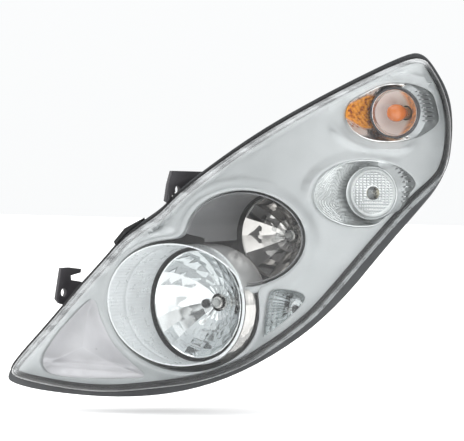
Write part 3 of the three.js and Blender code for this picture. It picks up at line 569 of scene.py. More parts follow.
def lens_skin(depth_in, back):
    """Rings of one side of the lens from its edge to its middle."""
    rim = edge_ring(depth_in)
    shoulders = [(1, 34 - back), (1, 26), (0.999, 18), (0.996, 13.6), (0.992, 10.6), (0.986, 7.8), (0.979, 5.6),
                 (0.971, 3.7), (0.963, 2.2), (0.955, 1.1), (0.945, 0.45), (0.935, 0.1), (0.925, 0)]
    rings = [on_crown(scaled(rim, SHOULDER_FROM, k), deep + back) for k, deep in shoulders]
    last = scaled(rim, SHOULDER_FROM, shoulders[-1][0])
    for k in np.linspace(0.96, 0.04, 22):
        rings.append(on_crown(scaled(last, FACE_CENTRE, k), back))
    return rings


middles = [on_crown(FACE_CENTRE[None, :], back)[0] for back in (LENS_WALL, 0)]
skins = lens_skin(LENS_WALL, LENS_WALL)[::-1] + lens_skin(0, 0)
piece("lens_shell", capped(skins, middles), "lens", smooth=50)
SEAL_PROFILE = [(-2.6, 35.2), (-2.1, 34.7), (2.1, 34.7), (2.6, 35.2), (2.6, 38.9), (2.1, 39.4), (-2.1, 39.4),
                (-2.6, 38.9)]
rings = [on_crown(edge_ring(-side), back) for side, back in SEAL_PROFILE]
piece("seal_bead", strips(rings, closed_loop=True), "lens_seal", smooth=40)


def painted_shadow_strip():
    """Painted shadow: a black strip put between the lens edge and the bezel, where the gap lies in shade."""
    rim, start, end = edge_ring(0), edge_ring(3.3), edge_ring(7.2)
    # The painted shadow is narrower on the side that faces up-left, where light falls.
    upper_left = inwards(np.roll(rim, -1, 0) - np.roll(rim, 1, 0)) @ (-0.55, -0.83)
    wide = (5.3 - 3.7 * np.clip(upper_left * 2.2 - 0.7, 0, 1))[:, None]
    rings = []
    for share, back in ((0, 30.4), (0.02, 29.7), (0.1, 29.3), (0.9, 29.3), (0.98, 29.6), (1, 30.1), (1, 30.4)):
        rings.append(on_crown(start + (end - start) * share * wide / 3.9, back))
    return strips(rings, closed_loop=True)


piece("painted_shadow_strip", painted_shadow_strip(), "lens_seal", smooth=40, replaces=False)

OPEN_LOW, OPEN_HIGH, OPEN_DAY, OPEN_TURN = 87.8, 62.6, 44.8, 39.6


def circle(axis, radius, steps):
    return around(axis, radius, 0, full_turn(steps))[:, [0, 2]]


def outside_arc(axis, radius, other, other_radius, steps=900):
    """The part of a circle outside another, in order."""
    p = circle(axis, radius, steps)
    free = np.linalg.norm(p - np.asarray(other), axis=1) > other_radius
    start = next(i for i in range(steps) if free[i] and not free[i - 1])
    return np.roll(p, -start, 0)[np.roll(free, -start)]


def main_opening():
    """The low and high beam openings joined, with the corners between them eased."""
    low = outside_arc(LOW, OPEN_LOW, HIGH, OPEN_HIGH)
    high = outside_arc(HIGH, OPEN_HIGH, LOW, OPEN_LOW)
    p = evenly(np.vstack([low, high]), 420)
    ease = sum(np.exp(-(np.linalg.norm(p - c, axis=1) / 15) ** 2) for c in (low[0], low[-1]))
    for _ in range(110):
        p = p + 0.5 * ease[:, None] * (0.5 * (np.roll(p, 1, 0) + np.roll(p, -1, 0)) - p)
    return evenly(p, 1600)


MAIN = main_opening()


def within_face(axis, radius, margin):
    """A round opening about an axis, kept a margin away from the lens edge."""
    p = circle(axis, radius, 900)
    limit = inset(EDGE, margin)
    for _ in range(60):
        y = surface_y(p[:, 0], p[:, 1], BEZEL_DEPTH)
        u = p[:, 0] * COS + y * SIN
        out = ~inside(np.stack([u, p[:, 1]], 1), limit)
        if not out.any():
            break
        p[out] += (np.asarray(axis) - p[out]) * 0.012
    for _ in range(500):
        p = 0.5 * p + 0.25 * (np.roll(p, 1, 0) + np.roll(p, -1, 0))
    return evenly(p, 900)


DAY_LOOP = within_face(DAY, OPEN_DAY, 13)
TURN_LOOP = within_face(TURN, OPEN_TURN, 15.5)
OPENINGS = ((MAIN, 300, 6.0), (DAY_LOOP, 160, 3.0), (TURN_LOOP, 140, 4.0))
COVE = np.array([
    (-238, -204), (-205, -206.5), (-170, -206), (-140, -205.5), (-120, -203.5), (-112, -201), (-120, -193),
    (-134, -181), (-147, -169), (-158, -155), (-166, -138), (-173, -122), (-177, -104), (-183, -98), (-193, -104),
    (-207, -118), (-226, -139), (-242, -160), (-255, -182), (-252, -197)], float)
CORNER = np.array([(41, -150), (56, -138), (82, -118), (105, -91), (54, -82), (46, -98), (43, -120), (41, -138)],
                  float)


def step(value, start, end):
    t = np.clip((value - start) / (end - start), 0, 1)
    return t * t * (3 - 2 * t)


def window(value, start, full, end, none):
    """Rises from 0 at start to 1 at full, and falls again from end to none."""
    return step(value, start, full) * (1 - step(value, end, none))


def relief(x, z):
    """How far the bezel stands out of its crown at a place."""
    place = np.stack([x, z], 1)
    rise = np.zeros(len(place))
    lip = distance(place, MAIN[::4])
    rise += 5.0 * (1 - step(lip, 3, 17))
    turn = distance(place, TURN_LOOP[::3])
    brow = np.exp(-((turn - 13) / 7) ** 2) * step(z, TURN[1] - 4, TURN[1] + 24) * (1 - step(x, 150, 166))
    rise += 8.0 * brow
    lid = np.exp(-((turn - 9) / 5) ** 2) * (1 - step(z, TURN[1] - 30, TURN[1] - 10)) * (1 - step(x, 132, 150))
    rise += 5.0 * lid
    day = distance(place, DAY_LOOP[::3])
    rise += 3.4 * (1 - step(day, 1.5, 12)) * step(z, DAY[1] - 30, DAY[1] + 14) * (1 - step(x, 118, 140))
    left = step(-x, 62, 110)
    rise -= 8.0 * left * np.exp(-((lip - 20) / 8) ** 2) * step(z, -80, -40) * (1 - step(z, 10, 30))
    return rise


def on_bezel(p, back=BEZEL_DEPTH):
    """Points of the bezel over places x, z."""
    x, z = p.T
    return np.stack([x, surface_y(x, z, back), z], 1) + relief(x, z)[:, None] * OUT


def grown_ring(loop, count, d, round_to, limits):
    """An opening's outline moved outwards, by less where it nears one of the outlines that limit it."""
    ring = evenly(inset(loop, -d), count)
    if not limits:
        return ring
    near = loop[np.array([((loop - p) ** 2).sum(1).argmin() for p in ring])]
    room = np.min([distance(near, limit) for limit in limits], axis=0)
    share = np.clip((room - 1.3) / round_to, 0.12, 1)
    return near + (ring - near) * share[:, None]


def lip_rings(loop, count, round_to, deep=9.0, wall=1.6, limits=()):
    """Rings of a rounded lip from the bezel's face into an opening and back to its rear face."""
    def at(d, back=BEZEL_DEPTH):
        return on_bezel(grown_ring(loop, count, d, round_to, limits), back)
    rings = [at(round_to)]
    for t in np.radians(np.linspace(15, 90, 6)):
        ring = at(round_to * (1 - math.sin(t)))
        ring[:, 1] += round_to * 0.55 * (1 - math.cos(t))
        rings.append(ring)
    end, back = rings[-1].copy(), at(wall)
    end[:, 1] += deep
    back[:, 1] = end[:, 1]
    return rings + [end, back, at(round_to, REAR_FACE)]


def bezel_mesh():
    """A skin over the crown with rounded openings, its lips, and a rear skin, as one closed shell."""
    walls = [[on_crown(edge_ring(depth_in), back) for depth_in, back in (
        (9.2, 30), (8.4, 30.15), (7.4, 30.6), (6.6, 31.5), (6.2, 33), (6.2, 46), (8.2, 46), (8.2, 34), (9.2, 32.5))]]
    rim_line = walls[0][0][:, [0, 2]]
    small = [on_crown(eased(outline, 1200, 2), BEZEL_DEPTH)[:, [0, 2]] for outline in (COVE, CORNER)]
    edges = [inset(places, -3.0) for places in small]
    limits = [evenly(rim_line, 1600)] + [evenly(edge, 900) for edge in edges]
    flat = [rim_line]
    for loop, many, round_to in OPENINGS:
        walls.append(lip_rings(loop, many, round_to, limits=limits))
        flat.append(grown_ring(loop, many, round_to, round_to, limits))
    for places, edge, many in zip(small, edges, (150, 110)):
        walls.append(lip_rings(places, many, 3.0, deep=4.0, wall=1.3))
        flat.append(evenly(edge, many))
    grid = on_crown(lattice(4.0, 2.0), BEZEL_DEPTH)[:, [0, 2]]
    places, faces = fill(flat, grid, [2.2] * len(flat))
    front, rear = on_bezel(places), on_bezel(places, REAR_FACE)
    rim = len(rim_line)
    front[:rim], rear[:rim] = walls[0][0], walls[0][-1]
    return shell(front, rear, faces, [(len(rings[0]), rings[1:-1]) for rings in walls])


piece("bezel_shell", bezel_mesh(), "bezel", "bezel_silver", smooth=40)


# ---- Main beams ----
def hood():
    """Fluted hood in front of the low beam: its front edge follows the bezel."""
    flutes, each = 120, 7
    at = full_turn(flutes * each)
    ripple = 0.5 * (1 - np.cos(at * flutes))
    start = behind_bezel(around(LOW, 84.5, 0, at), -1.7)
    front, back = [], []
    for t in np.concatenate([[0, 0.006, 0.015], np.linspace(0.035, 0.40, 6), [0.415, 0.43],
                             np.linspace(0.46, 0.94, 7), [0.97, 1]]):
        y = start + (32.5 - start) * t
        radius = np.interp(y, (-66, 0, 33), (85, 79, 76))
        fade = step(t, 0.0, 0.05) * (1 - step(t, 0.9, 1.0))
        groove = 0.55 * math.exp(-((t - 0.42) / 0.012) ** 2)
        fade *= 1 - math.exp(-((t - 0.42) / 0.03) ** 2)
        lip = 1.0 * (1 - t / 0.015) ** 2 if t < 0.015 else 0
        inner = radius + lip + groove - 0.16 * ripple * fade
        front.append(around(LOW, inner, y, at))
        back.append(around(LOW, radius + 2 - 0.3 * lip, y, at))
    front.append(around(LOW, 76.0, 33, at))
    back.append(around(LOW, 80.0, 33, at))
    return plate(front, back, loop=True)


def bowl(name, node, finish, axis, apex, focus, sectors, bands, pillow, twist, seed, jitter, lip):
    """A parabolic reflector of slightly crowned facets, with a wall behind it and a rounded lip outside its rim.
    Bands are the radii at which the facets meet."""
    levels = np.array(bands, float)
    each, wall = 5, 1.8  # points along a facet's side, thickness
    radius = np.repeat(levels[:, None], sectors + 1, 1)
    at = np.linspace(0, 2 * math.pi, sectors + 1) + twist * np.arange(len(levels))[:, None]
    shake = np.random.default_rng(seed).uniform(-jitter, jitter, (len(levels), sectors))
    shake[0] = shake[-1] = 0
    depth = apex - radius ** 2 / (4 * focus) + np.hstack([shake, shake[:, :1]])
    corners = around(axis, radius, depth, at)[:, :, None]
    t = np.arange(each) / each
    across = corners[:, :-1] * (1 - t)[:, None] + corners[:, 1:] * t[:, None]
    across = across.reshape(len(levels), -1, 3)
    cushion = np.tile(16 * pillow * t * (1 - t), sectors)[:, None] * (0, 1, 0)
    rows = [a * (1 - s) + b * s - s * (1 - s) * cushion for a, b in zip(across, across[1:]) for s in t]
    front = np.array(rows + [across[-1]])
    gap = front - (axis[0], 0, axis[1])
    slope = np.stack([gap[..., 0] / (2 * focus), np.ones(front.shape[:2]), gap[..., 2] / (2 * focus)], -1)
    back = front + wall * unit(slope)
    at = np.arctan2(gap[-1, :, 2], gap[-1, :, 0])
    rim = levels[-1]
    skins = []
    for skin, places in ((front, ((0.45, -0.7), (0.85, -0.4), (1, 0.4))), (back, ((0.5, 1.4), (0.8, 1.2), (1, 0.9)))):
        lips = [around(axis, rim + lip * out, apex - rim ** 2 / (4 * focus) + y, at) for out, y in places]
        skins.append(np.concatenate([skin, lips]))
    piece(name, plate(*skins, loop=True), node, finish, smooth=14)


piece("low_hood", hood(), "low_beam_hood", "hood_silver", smooth=50)
bowl("low_bowl", "low_reflector", "bright_silver", LOW, 85, 25, 20, (12, 24, 37, 51, 61, 69.6), 0.30, 0.06, 4,
     0.35, 1.8)
bowl("high_bowl", "high_reflector", "deep_chrome", HIGH, 150, 19.9, 14, (11, 22, 38, 54), 0.4, 0.0, 9, 0.3, 2.0)
turned("high_flange", HIGH, [(49.2, 119.8), (56, 119.8), (56, 121.6), (49.2, 121.6)], "high_reflector",
       "carrier_black")
turned("low_neck", LOW, [(37.6, 71), (40, 71), (40, 121.6), (37.6, 121.6)], "low_reflector", "carrier_black")
turned("low_barrel", LOW, [
    (77.6, 33.5), (78.5, 34.3), (79.4, 40), (80, 47), (80.2, 54), (80.1, 62), (79.8, 70), (78.6, 78), (76.6, 86),
    (74, 92), (70.6, 97.4), (66.6, 102), (62, 106), (57, 110), (50, 114), (48.5, 112.5), (54, 108.4), (60, 104.5),
    (66, 98.6), (72, 90.5), (75.6, 81), (77.6, 69), (77.8, 58), (77.6, 48), (77.0, 40), (76.5, 33.5)],
    "low_beam_barrel", "barrel_silver", 128, 50, replaces=True)
# Painted shade: a black sleeve inside the barrel, behind the gap between the hood's ring and the low bowl, stands in
# for the shade there.
turned("low_gap_painted_shade", LOW, [(75.9, 33.9), (76.3, 33.6), (76.5, 34.4), (76.9, 46), (76.9, 58), (76.4, 58),
                                  (76.2, 46), (75.9, 36)], "low_beam_barrel", "carrier_black", 128)


def tunnel():
    """Grey tunnel before the high beam, open where the low beam stands in it."""
    low_reach, rear_end = 83, 104  # radius that the low beam takes up, and the y of the rear end
    at = full_turn(720)
    far = np.linalg.norm(around(HIGH, 60, 0, at)[:, [0, 2]] - LOW, axis=1)
    free = far > low_reach
    start = np.flatnonzero(free & ~np.roll(free, 1))[0]
    at, far = (np.roll(values, -start)[np.roll(free, -start)][::3] for values in (at, far))
    begin = behind_bezel(around(HIGH, 61, 0, at), 3.0)
    begin = begin + (np.maximum(begin, 34.0) - begin) * step(-far, -97, -88)
    front, back = [], []
    for t in np.concatenate([[0, 0.012], np.linspace(0.05, 0.96, 12), [0.985, 1]]):
        y = begin + (rear_end - begin) * t
        radius = np.interp(y, (-30, rear_end), (60, 57))
        lip = 0.7 if t in (0, 1) else 0
        front.append(around(HIGH, radius + lip, y, at))
        back.append(around(HIGH, radius + 1.9 - lip, y, at))
    return plate(front, back)


piece("high_tunnel", tunnel(), "high_beam_tunnel", "tunnel_grey", smooth=50)


# ---- Daytime lamp and indicator ----
TILT = math.radians(14)  # the small lamps look a little outwards


def tilted(axis, radius, y, at, share=1.0):
    """Points of a circle about a lamp's axis, in a plane turned outwards by a share of TILT."""
    turn = TILT * share
    across = radius * np.cos(at)
    return np.stack([axis[0] + across * math.cos(turn), y + across * math.sin(turn),
                     axis[1] + radius * np.sin(at)], -1)


def half_turn_range(at):
    """Bearings brought between minus and plus half a turn."""
    return (at + math.pi) % (2 * math.pi) - math.pi


def loop_radius(axis, loop, at):
    """How far an opening's edge lies from a lamp's axis at bearings."""
    return np.interp(half_turn_range(at), *polar(loop, axis))


def wall_radius(opening, form):
    """How far a pocket's wall stands from the lamp's axis: just outside the opening, clear of the inner tube."""
    widest, _, tube_radius, _ = form
    return np.clip(opening - 1.9, tube_radius + 2.4, widest)


def pocket(axis, loop, form, bowl_apex, hole, focus, texture, ribs):
    """A plated pocket: a textured wall behind the bezel, a floor, an inner tube and its bowl, in one skin."""
    _, floor_y, tube_radius, tube_front = form
    thick = 1.5
    at = full_turn(400)
    wall = wall_radius(loop_radius(axis, loop, at), form)
    start = np.minimum(behind_bezel(around(axis, wall, 0, at), 3.2), floor_y - 5)
    front, back = [], []
    for t in np.linspace(0, 1, 96):
        y = start + (floor_y - start) * t
        fade = min(1, t / 0.06) * min(1, (1 - t) / 0.04)
        raised = texture(around(axis, wall, y, at), np.degrees(at)) + ribs(np.degrees(half_turn_range(at)))
        front.append(around(axis, wall - fade * raised, y, at))
        back.append(around(axis, wall + thick, y, at))
    back[-1] = around(axis, wall + thick, floor_y + thick, at)
    for extra, rise, share in ((1.8, 0, 0.15), (1.7, 0.12, 0.2), (1.6, 0.5, 0.6), (1.6, 0.93, 1), (1.3, 0.98, 1),
                               (0.8, 1, 1), (0.3, 0.98, 1), (0, 0.93, 1)):
        y = floor_y + (tube_front - floor_y) * rise
        front.append(tilted(axis, tube_radius + extra, y, at, share))
        back.append(around(axis, tube_radius + 1.6, floor_y + thick, at))
    y_rim = tube_front + 4.5
    deep = bowl_apex - hole ** 2 / (4 * focus)
    for t in np.linspace(0, 1, 16):
        r = tube_radius * (1 - t) + hole * t
        bowl_share = (tube_radius ** 2 - r ** 2) / (tube_radius ** 2 - hole ** 2)
        y = y_rim + (deep - y_rim) * bowl_share
        front.append(tilted(axis, r, y, at, 1 - bowl_share))
        back.append(tilted(axis, r + 0.9 * (1 - t) + 0.2, max(y + 1.6, y_rim + 2.2), at, 1 - bowl_share))
    return plate(front, back, loop=True)


def rib_wall(low, high, count, height):
    """Ribs along the lamp's axis on the part of the wall between two bearings."""
    def shape(a):
        wave = np.clip(1.6 * np.cos(2 * math.pi * count * (a - low) / (high - low)) - 0.3, 0, 1)
        return height * wave * window(a, low, low + 4, high - 4, high)
    return shape


def star_texture(place, a):
    """Fine scalloped steps that spread in a five-armed pattern from a point on the wall."""
    z, y = place[:, 2] - 24, place[:, 1] - 146
    reach, turn = np.hypot(z * 1.15, y), np.arctan2(z, y)
    rings = reach * (1 + 0.13 * np.cos(5 * turn + 0.6)) / 5.2 % 1
    beads = 0.5 + 0.5 * np.cos(turn * np.maximum(6, np.round(reach * 0.9)))
    return 1.5 * window(a, 112, 124, 236, 250) * rings * (0.4 + 0.6 * beads)


def cross_texture(place, a):
    """Slanting steps across the indicator's inner wall."""
    slant = np.sin(2 * math.pi * (place[:, 1] * 0.72 + place[:, 2] * 0.9) / 7.0)
    cut = np.sin(2 * math.pi * (place[:, 1] * 0.8 - place[:, 2]) / 13.0)
    return 0.55 * window(a, 118, 128, 205, 214) * np.clip(0.5 + 0.9 * slant, 0, 1) * (0.6 + 0.4 * cut)


def ledge(name, axis, loop, form, node):
    """Grooved ledge from the inner tube's rim over the pocket's wall and back to the bezel's lip, with painted shade in
    its grooves.
    """
    _, floor_y, tube_radius, tube_front = form
    low, high, grooves, crest_at = -62, 76, 15, 0.35
    a = np.linspace(low, high, 300)
    at = np.radians(a)
    groove = np.clip(3 * np.cos(2 * math.pi * grooves * (a - low) / (high - low)) - 1.6, 0, 1)
    groove *= window(a, low + 40, low + 50, high - 30, high - 20)
    opening = loop_radius(axis, loop, at)
    wall = wall_radius(opening, form) + 2.0
    near = tilted(axis, tube_radius + 1.9, tube_front + 2.2, at)
    crest, far = around(axis, wall, 0, at), around(axis, np.maximum(opening - 0.6, wall), 0, at)
    crest[:, 1] = np.minimum(behind_bezel(crest, 2.2), floor_y - 6.5)
    far[:, 1] = np.maximum(behind_bezel(far, 6.0), crest[:, 1] + 1)
    sink = np.stack([-1.6 * np.cos(at), 1.8 + 0 * at, -1.6 * np.sin(at)], 1)
    front = []
    for t in np.linspace(0, 1, 34):
        if t < crest_at:
            row = near * (1 - t / crest_at) + crest * t / crest_at
        else:
            row = crest + (far - crest) * (t - crest_at) / (1 - crest_at)
        front.append(row + (groove * window(t, 0.22, 0.30, 0.66, 0.74))[:, None] * sink)
    front = np.array(front)
    obj = piece(name, plate(front, front + (0, 1.2, 0)), node, "satin_silver", 40, replaces=False)
    # Painted shade: faces deep in the grooves get the dark groove_grey finish, standing in for the shade in them.
    obj.data.materials.append(FINISHES["groove_grey"])
    for polygon in obj.data.polygons:
        row, column = divmod(polygon.vertices[0] % front[..., 0].size, len(at))
        if groove[len(at) - 1 - column] > 0.6 and 9 < row < 23:
            polygon.material_index = 1


DAY_FORM, TURN_FORM = (42.6, 196, 34, 171), (37.4, 224, 30.2, 201)  # widest, floor, tube's radius and front
piece("daytime_pocket", pocket(DAY, DAY_LOOP, DAY_FORM, 189, 9.4, 60, star_texture, rib_wall(-38, 52, 9, 2.2)),
      "daytime_reflector", "pocket_silver", smooth=45)
piece("indicator_pocket", pocket(TURN, TURN_LOOP, TURN_FORM, 231, 9.9, 27, cross_texture, rib_wall(-30, 62, 9, 2.0)),
      "indicator_reflector", "indicator_silver", smooth=45)
ledge("daytime_ledge", DAY, DAY_LOOP, DAY_FORM, "daytime_reflector")
ledge("indicator_ledge", TURN, TURN_LOOP, TURN_FORM, "indicator_reflector")


def cushions(a, b, wide, high):
    return np.abs(np.sin(math.pi * a / wide)) * np.abs(np.sin(math.pi * b / high))


def patterned_disc(axis, inner_radius, outer_radius, y, thick):
    """Clear disc with rows of small cushions on its face."""
    at = full_turn(240)
    front, back = [], []
    for r in np.linspace(inner_radius, outer_radius, 40):
        x, z = (around(axis, r, y, at)[:, [0, 2]] - axis).T
        split = np.where(np.abs(x * 0.8) + z > 0, cushions(x, z, 5.2, 3.6), cushions(z, x, 4.6, 3.4))
        fade = window(r, inner_radius, inner_radius + 3, outer_radius - 5, outer_radius - 3)
        front.append(tilted(axis, r, y - 1.1 * split * fade, at))
        back.append(tilted(axis, r, y + thick, at))
    return plate(front, back, loop=True)


piece("daytime_pattern", patterned_disc(DAY, 9, 31.2, 175.6, 1.8), "daytime_disc", "pattern_silver", smooth=60)
# Painted shade: a dark ring at the front of the indicator's tube stands in for the shaded crescent between the tube and
# the pocket's wall.
ring = [(32.0, 206), (32.0, 201.6), (32.4, 200.6), (33.2, 200.2), (33.9, 200.8), (34.1, 201.8), (34.1, 206)]
piece("indicator_dark_ring", strips([tilted(TURN, r, y, full_turn(128)) for r, y in ring], closed_loop=True),
      "indicator_ring", "ring_dark", smooth=40)


# ---- Bulbs ----
def capsule(radius, base, tip, nipple):
    """Profile of a bulb's glass from its base to its rounded tip."""
    top = tip + radius * 0.8 + nipple
    profile = [(radius, base), (radius, base - 2), (radius, base - 4), (radius, base - 6), (radius, top + 0.01)]
    profile += [(radius * math.cos(t), top - radius * 0.8 * math.sin(t)) for t in np.radians(np.linspace(12, 84, 8))]
    return profile + [(radius * 0.22, tip + nipple * 0.35), (radius * 0.12, tip + nipple * 0.1), (0.02, tip)]


def wire(name, path, radius, node):
    """A bent steel wire through points in the lamp's frame."""
    along = unit(np.gradient(path, axis=0))
    side = unit(np.cross(along, (0.31, 0.12, 0.94)))
    at = full_turn(6)[:, None]
    rings = [p + radius * (np.cos(at) * s + np.sin(at) * o) for p, s, o in zip(path, side, np.cross(along, side))]
    piece(name, capped(rings), node, "bulb_steel", 60, replaces=False)


def filament(name, axis, start, end, radius, node, feet):
    """Coiled filament along a bulb's axis with its two supports down to the base."""
    turns = 9
    t = np.linspace(0, 1, turns * 10)
    coil = around(axis, radius, start + (end - start) * t, 2 * math.pi * turns * t)
    x, z = axis
    wire(name, np.vstack([[(x, feet, z + 3.2), (x, start - 0.6, z + 2.6)], coil,
                          [(x, end + 0.8, z - 1.2), (x, feet, z - 2.6)]]), 0.28, node)


for name, axis, base, tip in (("low", LOW, 80.4, 48.0), ("high", HIGH, 145.4, 113.0)):
    node = name + "_bulb_glass"
    lathe(name + "_capsule", axis, capsule(6, base, tip, 2.0), node)
    filament(name + "_filament", axis, tip + 12, tip + 19, 0.9, node, base - 1)
    lathe(name + "_pinch", axis, [(3.4, base), (3.2, base - 7), (1.6, base - 9), (0.1, base - 9.4)], node,
          "bulb_white", 24, replaces=False)
    if name == "low":  # only the low beam's bulb has a dark tip
        lathe("low_tip", axis, [(6.07, tip + 10.2), (6.1, tip + 6.9), (5.6, tip + 4.6), (4.4, tip + 2.9),
                                (2.6, tip + 1.4), (1.4, tip + 0.6), (0.1, tip - 0.1)], node, "tip_black", 48,
              replaces=False)


# ---- Cove, corner lamp and the bar beside it ----
COVE_MIDDLE = (-178.0, -168.0)


def cove():
    """Plated scoop at the lamp's inner end, with a crease above its floor."""
    outline = evenly(inset(eased(COVE, 1400, 2), -0.9), 300)
    rings = []
    for t in np.linspace(0, 1, 44):
        p = scaled(outline, COVE_MIDDLE, 1 - 0.985 * t)
        deep = distance(p, outline)
        fall = 22 * (1 - np.exp(-(deep / 20) ** 1.35))
        crease = p[:, 1] + 190 + 0.05 * (p[:, 0] + 180)
        fall -= 2.2 * np.exp(-(crease / 3.5) ** 2) * step(deep, 2, 9)
        rings.append(on_crown(p, BEZEL_DEPTH + 4.4 + fall))
    front = np.array(rings)[:, ::-1]
    return plate(front, front - 1.5 * OUT, loop=True)


def corner():
    """Plated corner pocket: ribbed inner wall, and a floor square to the side bulb."""
    floor_y, bulb_hole = 105.5, 5.6
    places = evenly(inset(on_crown(eased(CORNER, 1200, 2), BEZEL_DEPTH)[:, [0, 2]], -0.6), 360)
    start = surface_y(places[:, 0], places[:, 1], BEZEL_DEPTH) + 4.6
    axis = np.array(SIDE, float)
    bearing = np.arctan2(places[:, 1] - axis[1], places[:, 0] - axis[0])
    rings = []
    for t in np.linspace(0, 1, 22):
        flute = 0.9 * np.sin(bearing * 26) * window(t, 0.03, 0.2, 0.8, 1)
        stair = 1.3 * (0.5 + 0.5 * math.sin(t * 9 * math.pi))
        p = axis + (places - axis) * (1 - 0.5 * t ** 1.2) * (1 - (flute + stair)[:, None] / 60)
        rings.append(np.stack([p[:, 0], start * (1 - t) + floor_y * t, p[:, 1]], 1))
    wall_rings = len(rings)
    radius = np.linalg.norm(rings[-1][:, [0, 2]] - axis, axis=1)
    for t in np.linspace(0.15, 1, 9):
        y = floor_y + 1.2 * math.sin(t * math.pi) + 0.4 * math.sin(t * 6 * math.pi)
        rings.append(around(axis, radius * (1 - t) + bulb_hole * t, y, bearing))
    front = np.array(rings)
    gap = (front - (axis[0], 0, axis[1])) * (1, 0, 1)
    out = gap / np.maximum(1e-6, np.linalg.norm(gap, axis=-1)[..., None])
    back = front + 1.2 * out + np.linspace(0, 1, len(front))[:, None, None] * (0, 1.3, 0)
    back[wall_rings:] = front[wall_rings:] + (0, 1.4, 0)
    return plate(front[:, ::-1], back[:, ::-1], loop=True)


def bar():
    """Bar of the bezel between the two main openings: it follows the high beam's circle to the hood's ring."""
    side, height = np.array([(0.6, 0), (1.6, -2.0), (4.4, -2.6), (7.4, -2.4), (9.6, -1.4), (10.4, 0.8), (10.0, 3.0),
                             (1.2, 3.0)]).T
    rows = []
    for t in np.linspace(0, 1, 14):
        row = around(HIGH, OPEN_HIGH + side, 0, np.full(len(side), math.radians(-69 - 26 * t)))
        row[:, 1] = behind_bezel(row, height + 5.0 * t * t)
        rows.append(row)
    return capped(rows)


def steps_beside():
    """Plated steps between the hood's ring and the bezel, on the side of the corner lamp."""
    at = np.radians(np.linspace(-64, 15, 160))
    profile = [(80.6, 34.5), (82.2, 37.4), (81.5, 38.6), (83.4, 41.4), (82.6, 42.7), (84.5, 45.6), (83.8, 46.8),
               (85.4, 50.0), (85.4, 54)]
    return plate(*([around(LOW, r - inwards, y + behind, at) for r, y in profile]
                   for inwards, behind in ((0, 0), (1, 0.9))))


piece("cove_scoop", cove(), "cove_trim", "cove_silver", smooth=60)
piece("corner_pocket", corner(), "corner_reflector", "bright_silver", smooth=30)
piece("corner_steps", steps_beside(), "corner_reflector", "deep_chrome", smooth=25, replaces=False)
piece("bezel_bar", bar(), "bezel", "bezel_silver", smooth=50, replaces=False)
lathe("side_bulb", SIDE, capsule(4.6, 103, 84, 0.6), "side_bulb_glass", sides=48)
filament("side_filament", SIDE, 90, 94, 0.6, "side_bulb_glass", 102)


# ---- Housing ----
RIM_EDGE = eased(RIM, 2200, 2)
REAR_SCALE = 0.9  # the rear wall's outline over the rim's
REAR_THICK = 3.6
BULB_OPENING = 47  # radius of the openings behind the main bulbs
REAR_WALL = np.array([(-302, -186), (-218, -162), (-150, -168), (-87, -187), (-9, -192), (97, -146), (166, -140),
                      (250, -150), (300, -166)], float)
REAR_U = np.arange(-330, 331, 3.0)
REAR_W = np.interp(REAR_U, REAR_WALL[:, 0], REAR_WALL[:, 1])
REAR_W = np.convolve(np.pad(REAR_W, 5, mode="edge"), np.ones(11) / 11, mode="valid")


def rear_depth(u):
    return np.interp(u, REAR_U, REAR_W)


def rear_y(x):
    """Depth y of the rear wall's outer face."""
    y = np.full(x.shape, 180.0)
    for _ in range(60):
        y = 0.5 * y + 0.5 * (x * SIN - rear_depth(x * COS + y * SIN)) / COS
    return y


def rear_ring(depth_in, scale=1.0):
    return scaled(at_bearings(inset(RIM_EDGE, depth_in)), FACE_CENTRE, scale)


def at_rear(p, lift=0.0):
    return to_lamp(p[:, 0], rear_depth(p[:, 0]) + lift, p[:, 1])


def blend(start, end, steps):
    return [start * (1 - t) + end * t for t in np.linspace(0, 1, steps)]


def housing_mesh():
    """Flange, side wall and rear wall in one shell, with the two openings of the main bulbs."""
    mouth, rim, throat, rear = edge_ring(4), rear_ring(0), edge_ring(0.5), rear_ring(0, REAR_SCALE)

    def near(k, lift=0.0):
        return at_rear(scaled(rear, FACE_CENTRE, k), lift)
    flange = [(mouth, 40), (rear_ring(1.6), 40), (rear_ring(0.5), 40.3), (rim, 41.3), (rim, 45.7),
              (rear_ring(0.5), 46.7), (rear_ring(1.4), 47), (throat, 47.1), (throat, 49)]
    outer = [on_crown(ring, back) for ring, back in flange]
    outer += blend(on_crown(throat, 51), at_rear(rear, 7), 14)
    outer += [near(0.998, 3.6), near(0.991, 1.2), near(0.980, 0.2)]
    last = near(0.968)
    inner = [on_crown(mouth, 51)] + blend(on_crown(edge_ring(4.2), 53), near(0.962, 8), 6)
    flat = [last[:, [0, 2]]] + [circle(axis, BULB_OPENING, 120) for axis in (LOW, HIGH)]
    places, faces = fill(flat, at_rear(lattice(7.0))[:, [0, 2]], (3.5, 3, 3))
    back = np.insert(places, 1, rear_y(places[:, 0]), 1)
    back[:len(last)] = last
    walls = [(len(last), outer[::-1] + inner), (120, []), (120, [])]
    return shell(back, back - (0, REAR_THICK, 0), faces, walls)


piece("housing_shell", housing_mesh(), "housing", smooth=38)


def turret(name, axis, outside, bore, start, seat, sides):
    """Round tube on the housing for a cover or a bulb holder, with a bead below its rounded edge."""
    r = 1.4
    profile = [(bore, start), (bore, seat - r)]
    profile += [(bore + r - r * math.cos(t), seat - r + r * math.sin(t)) for t in np.linspace(0.3, math.pi / 2, 4)]
    profile += [(outside - r + r * math.sin(t), seat - r + r * math.cos(t)) for t in np.linspace(0, math.pi / 2, 5)]
    profile += [(outside, seat - 11.4), (outside + 0.9, seat - 12.2), (outside + 0.9, seat - 13.8),
                (outside, seat - 14.6), (outside, start)]
    turned(name, axis, profile[::-1], "housing", sides=sides, smooth=45)


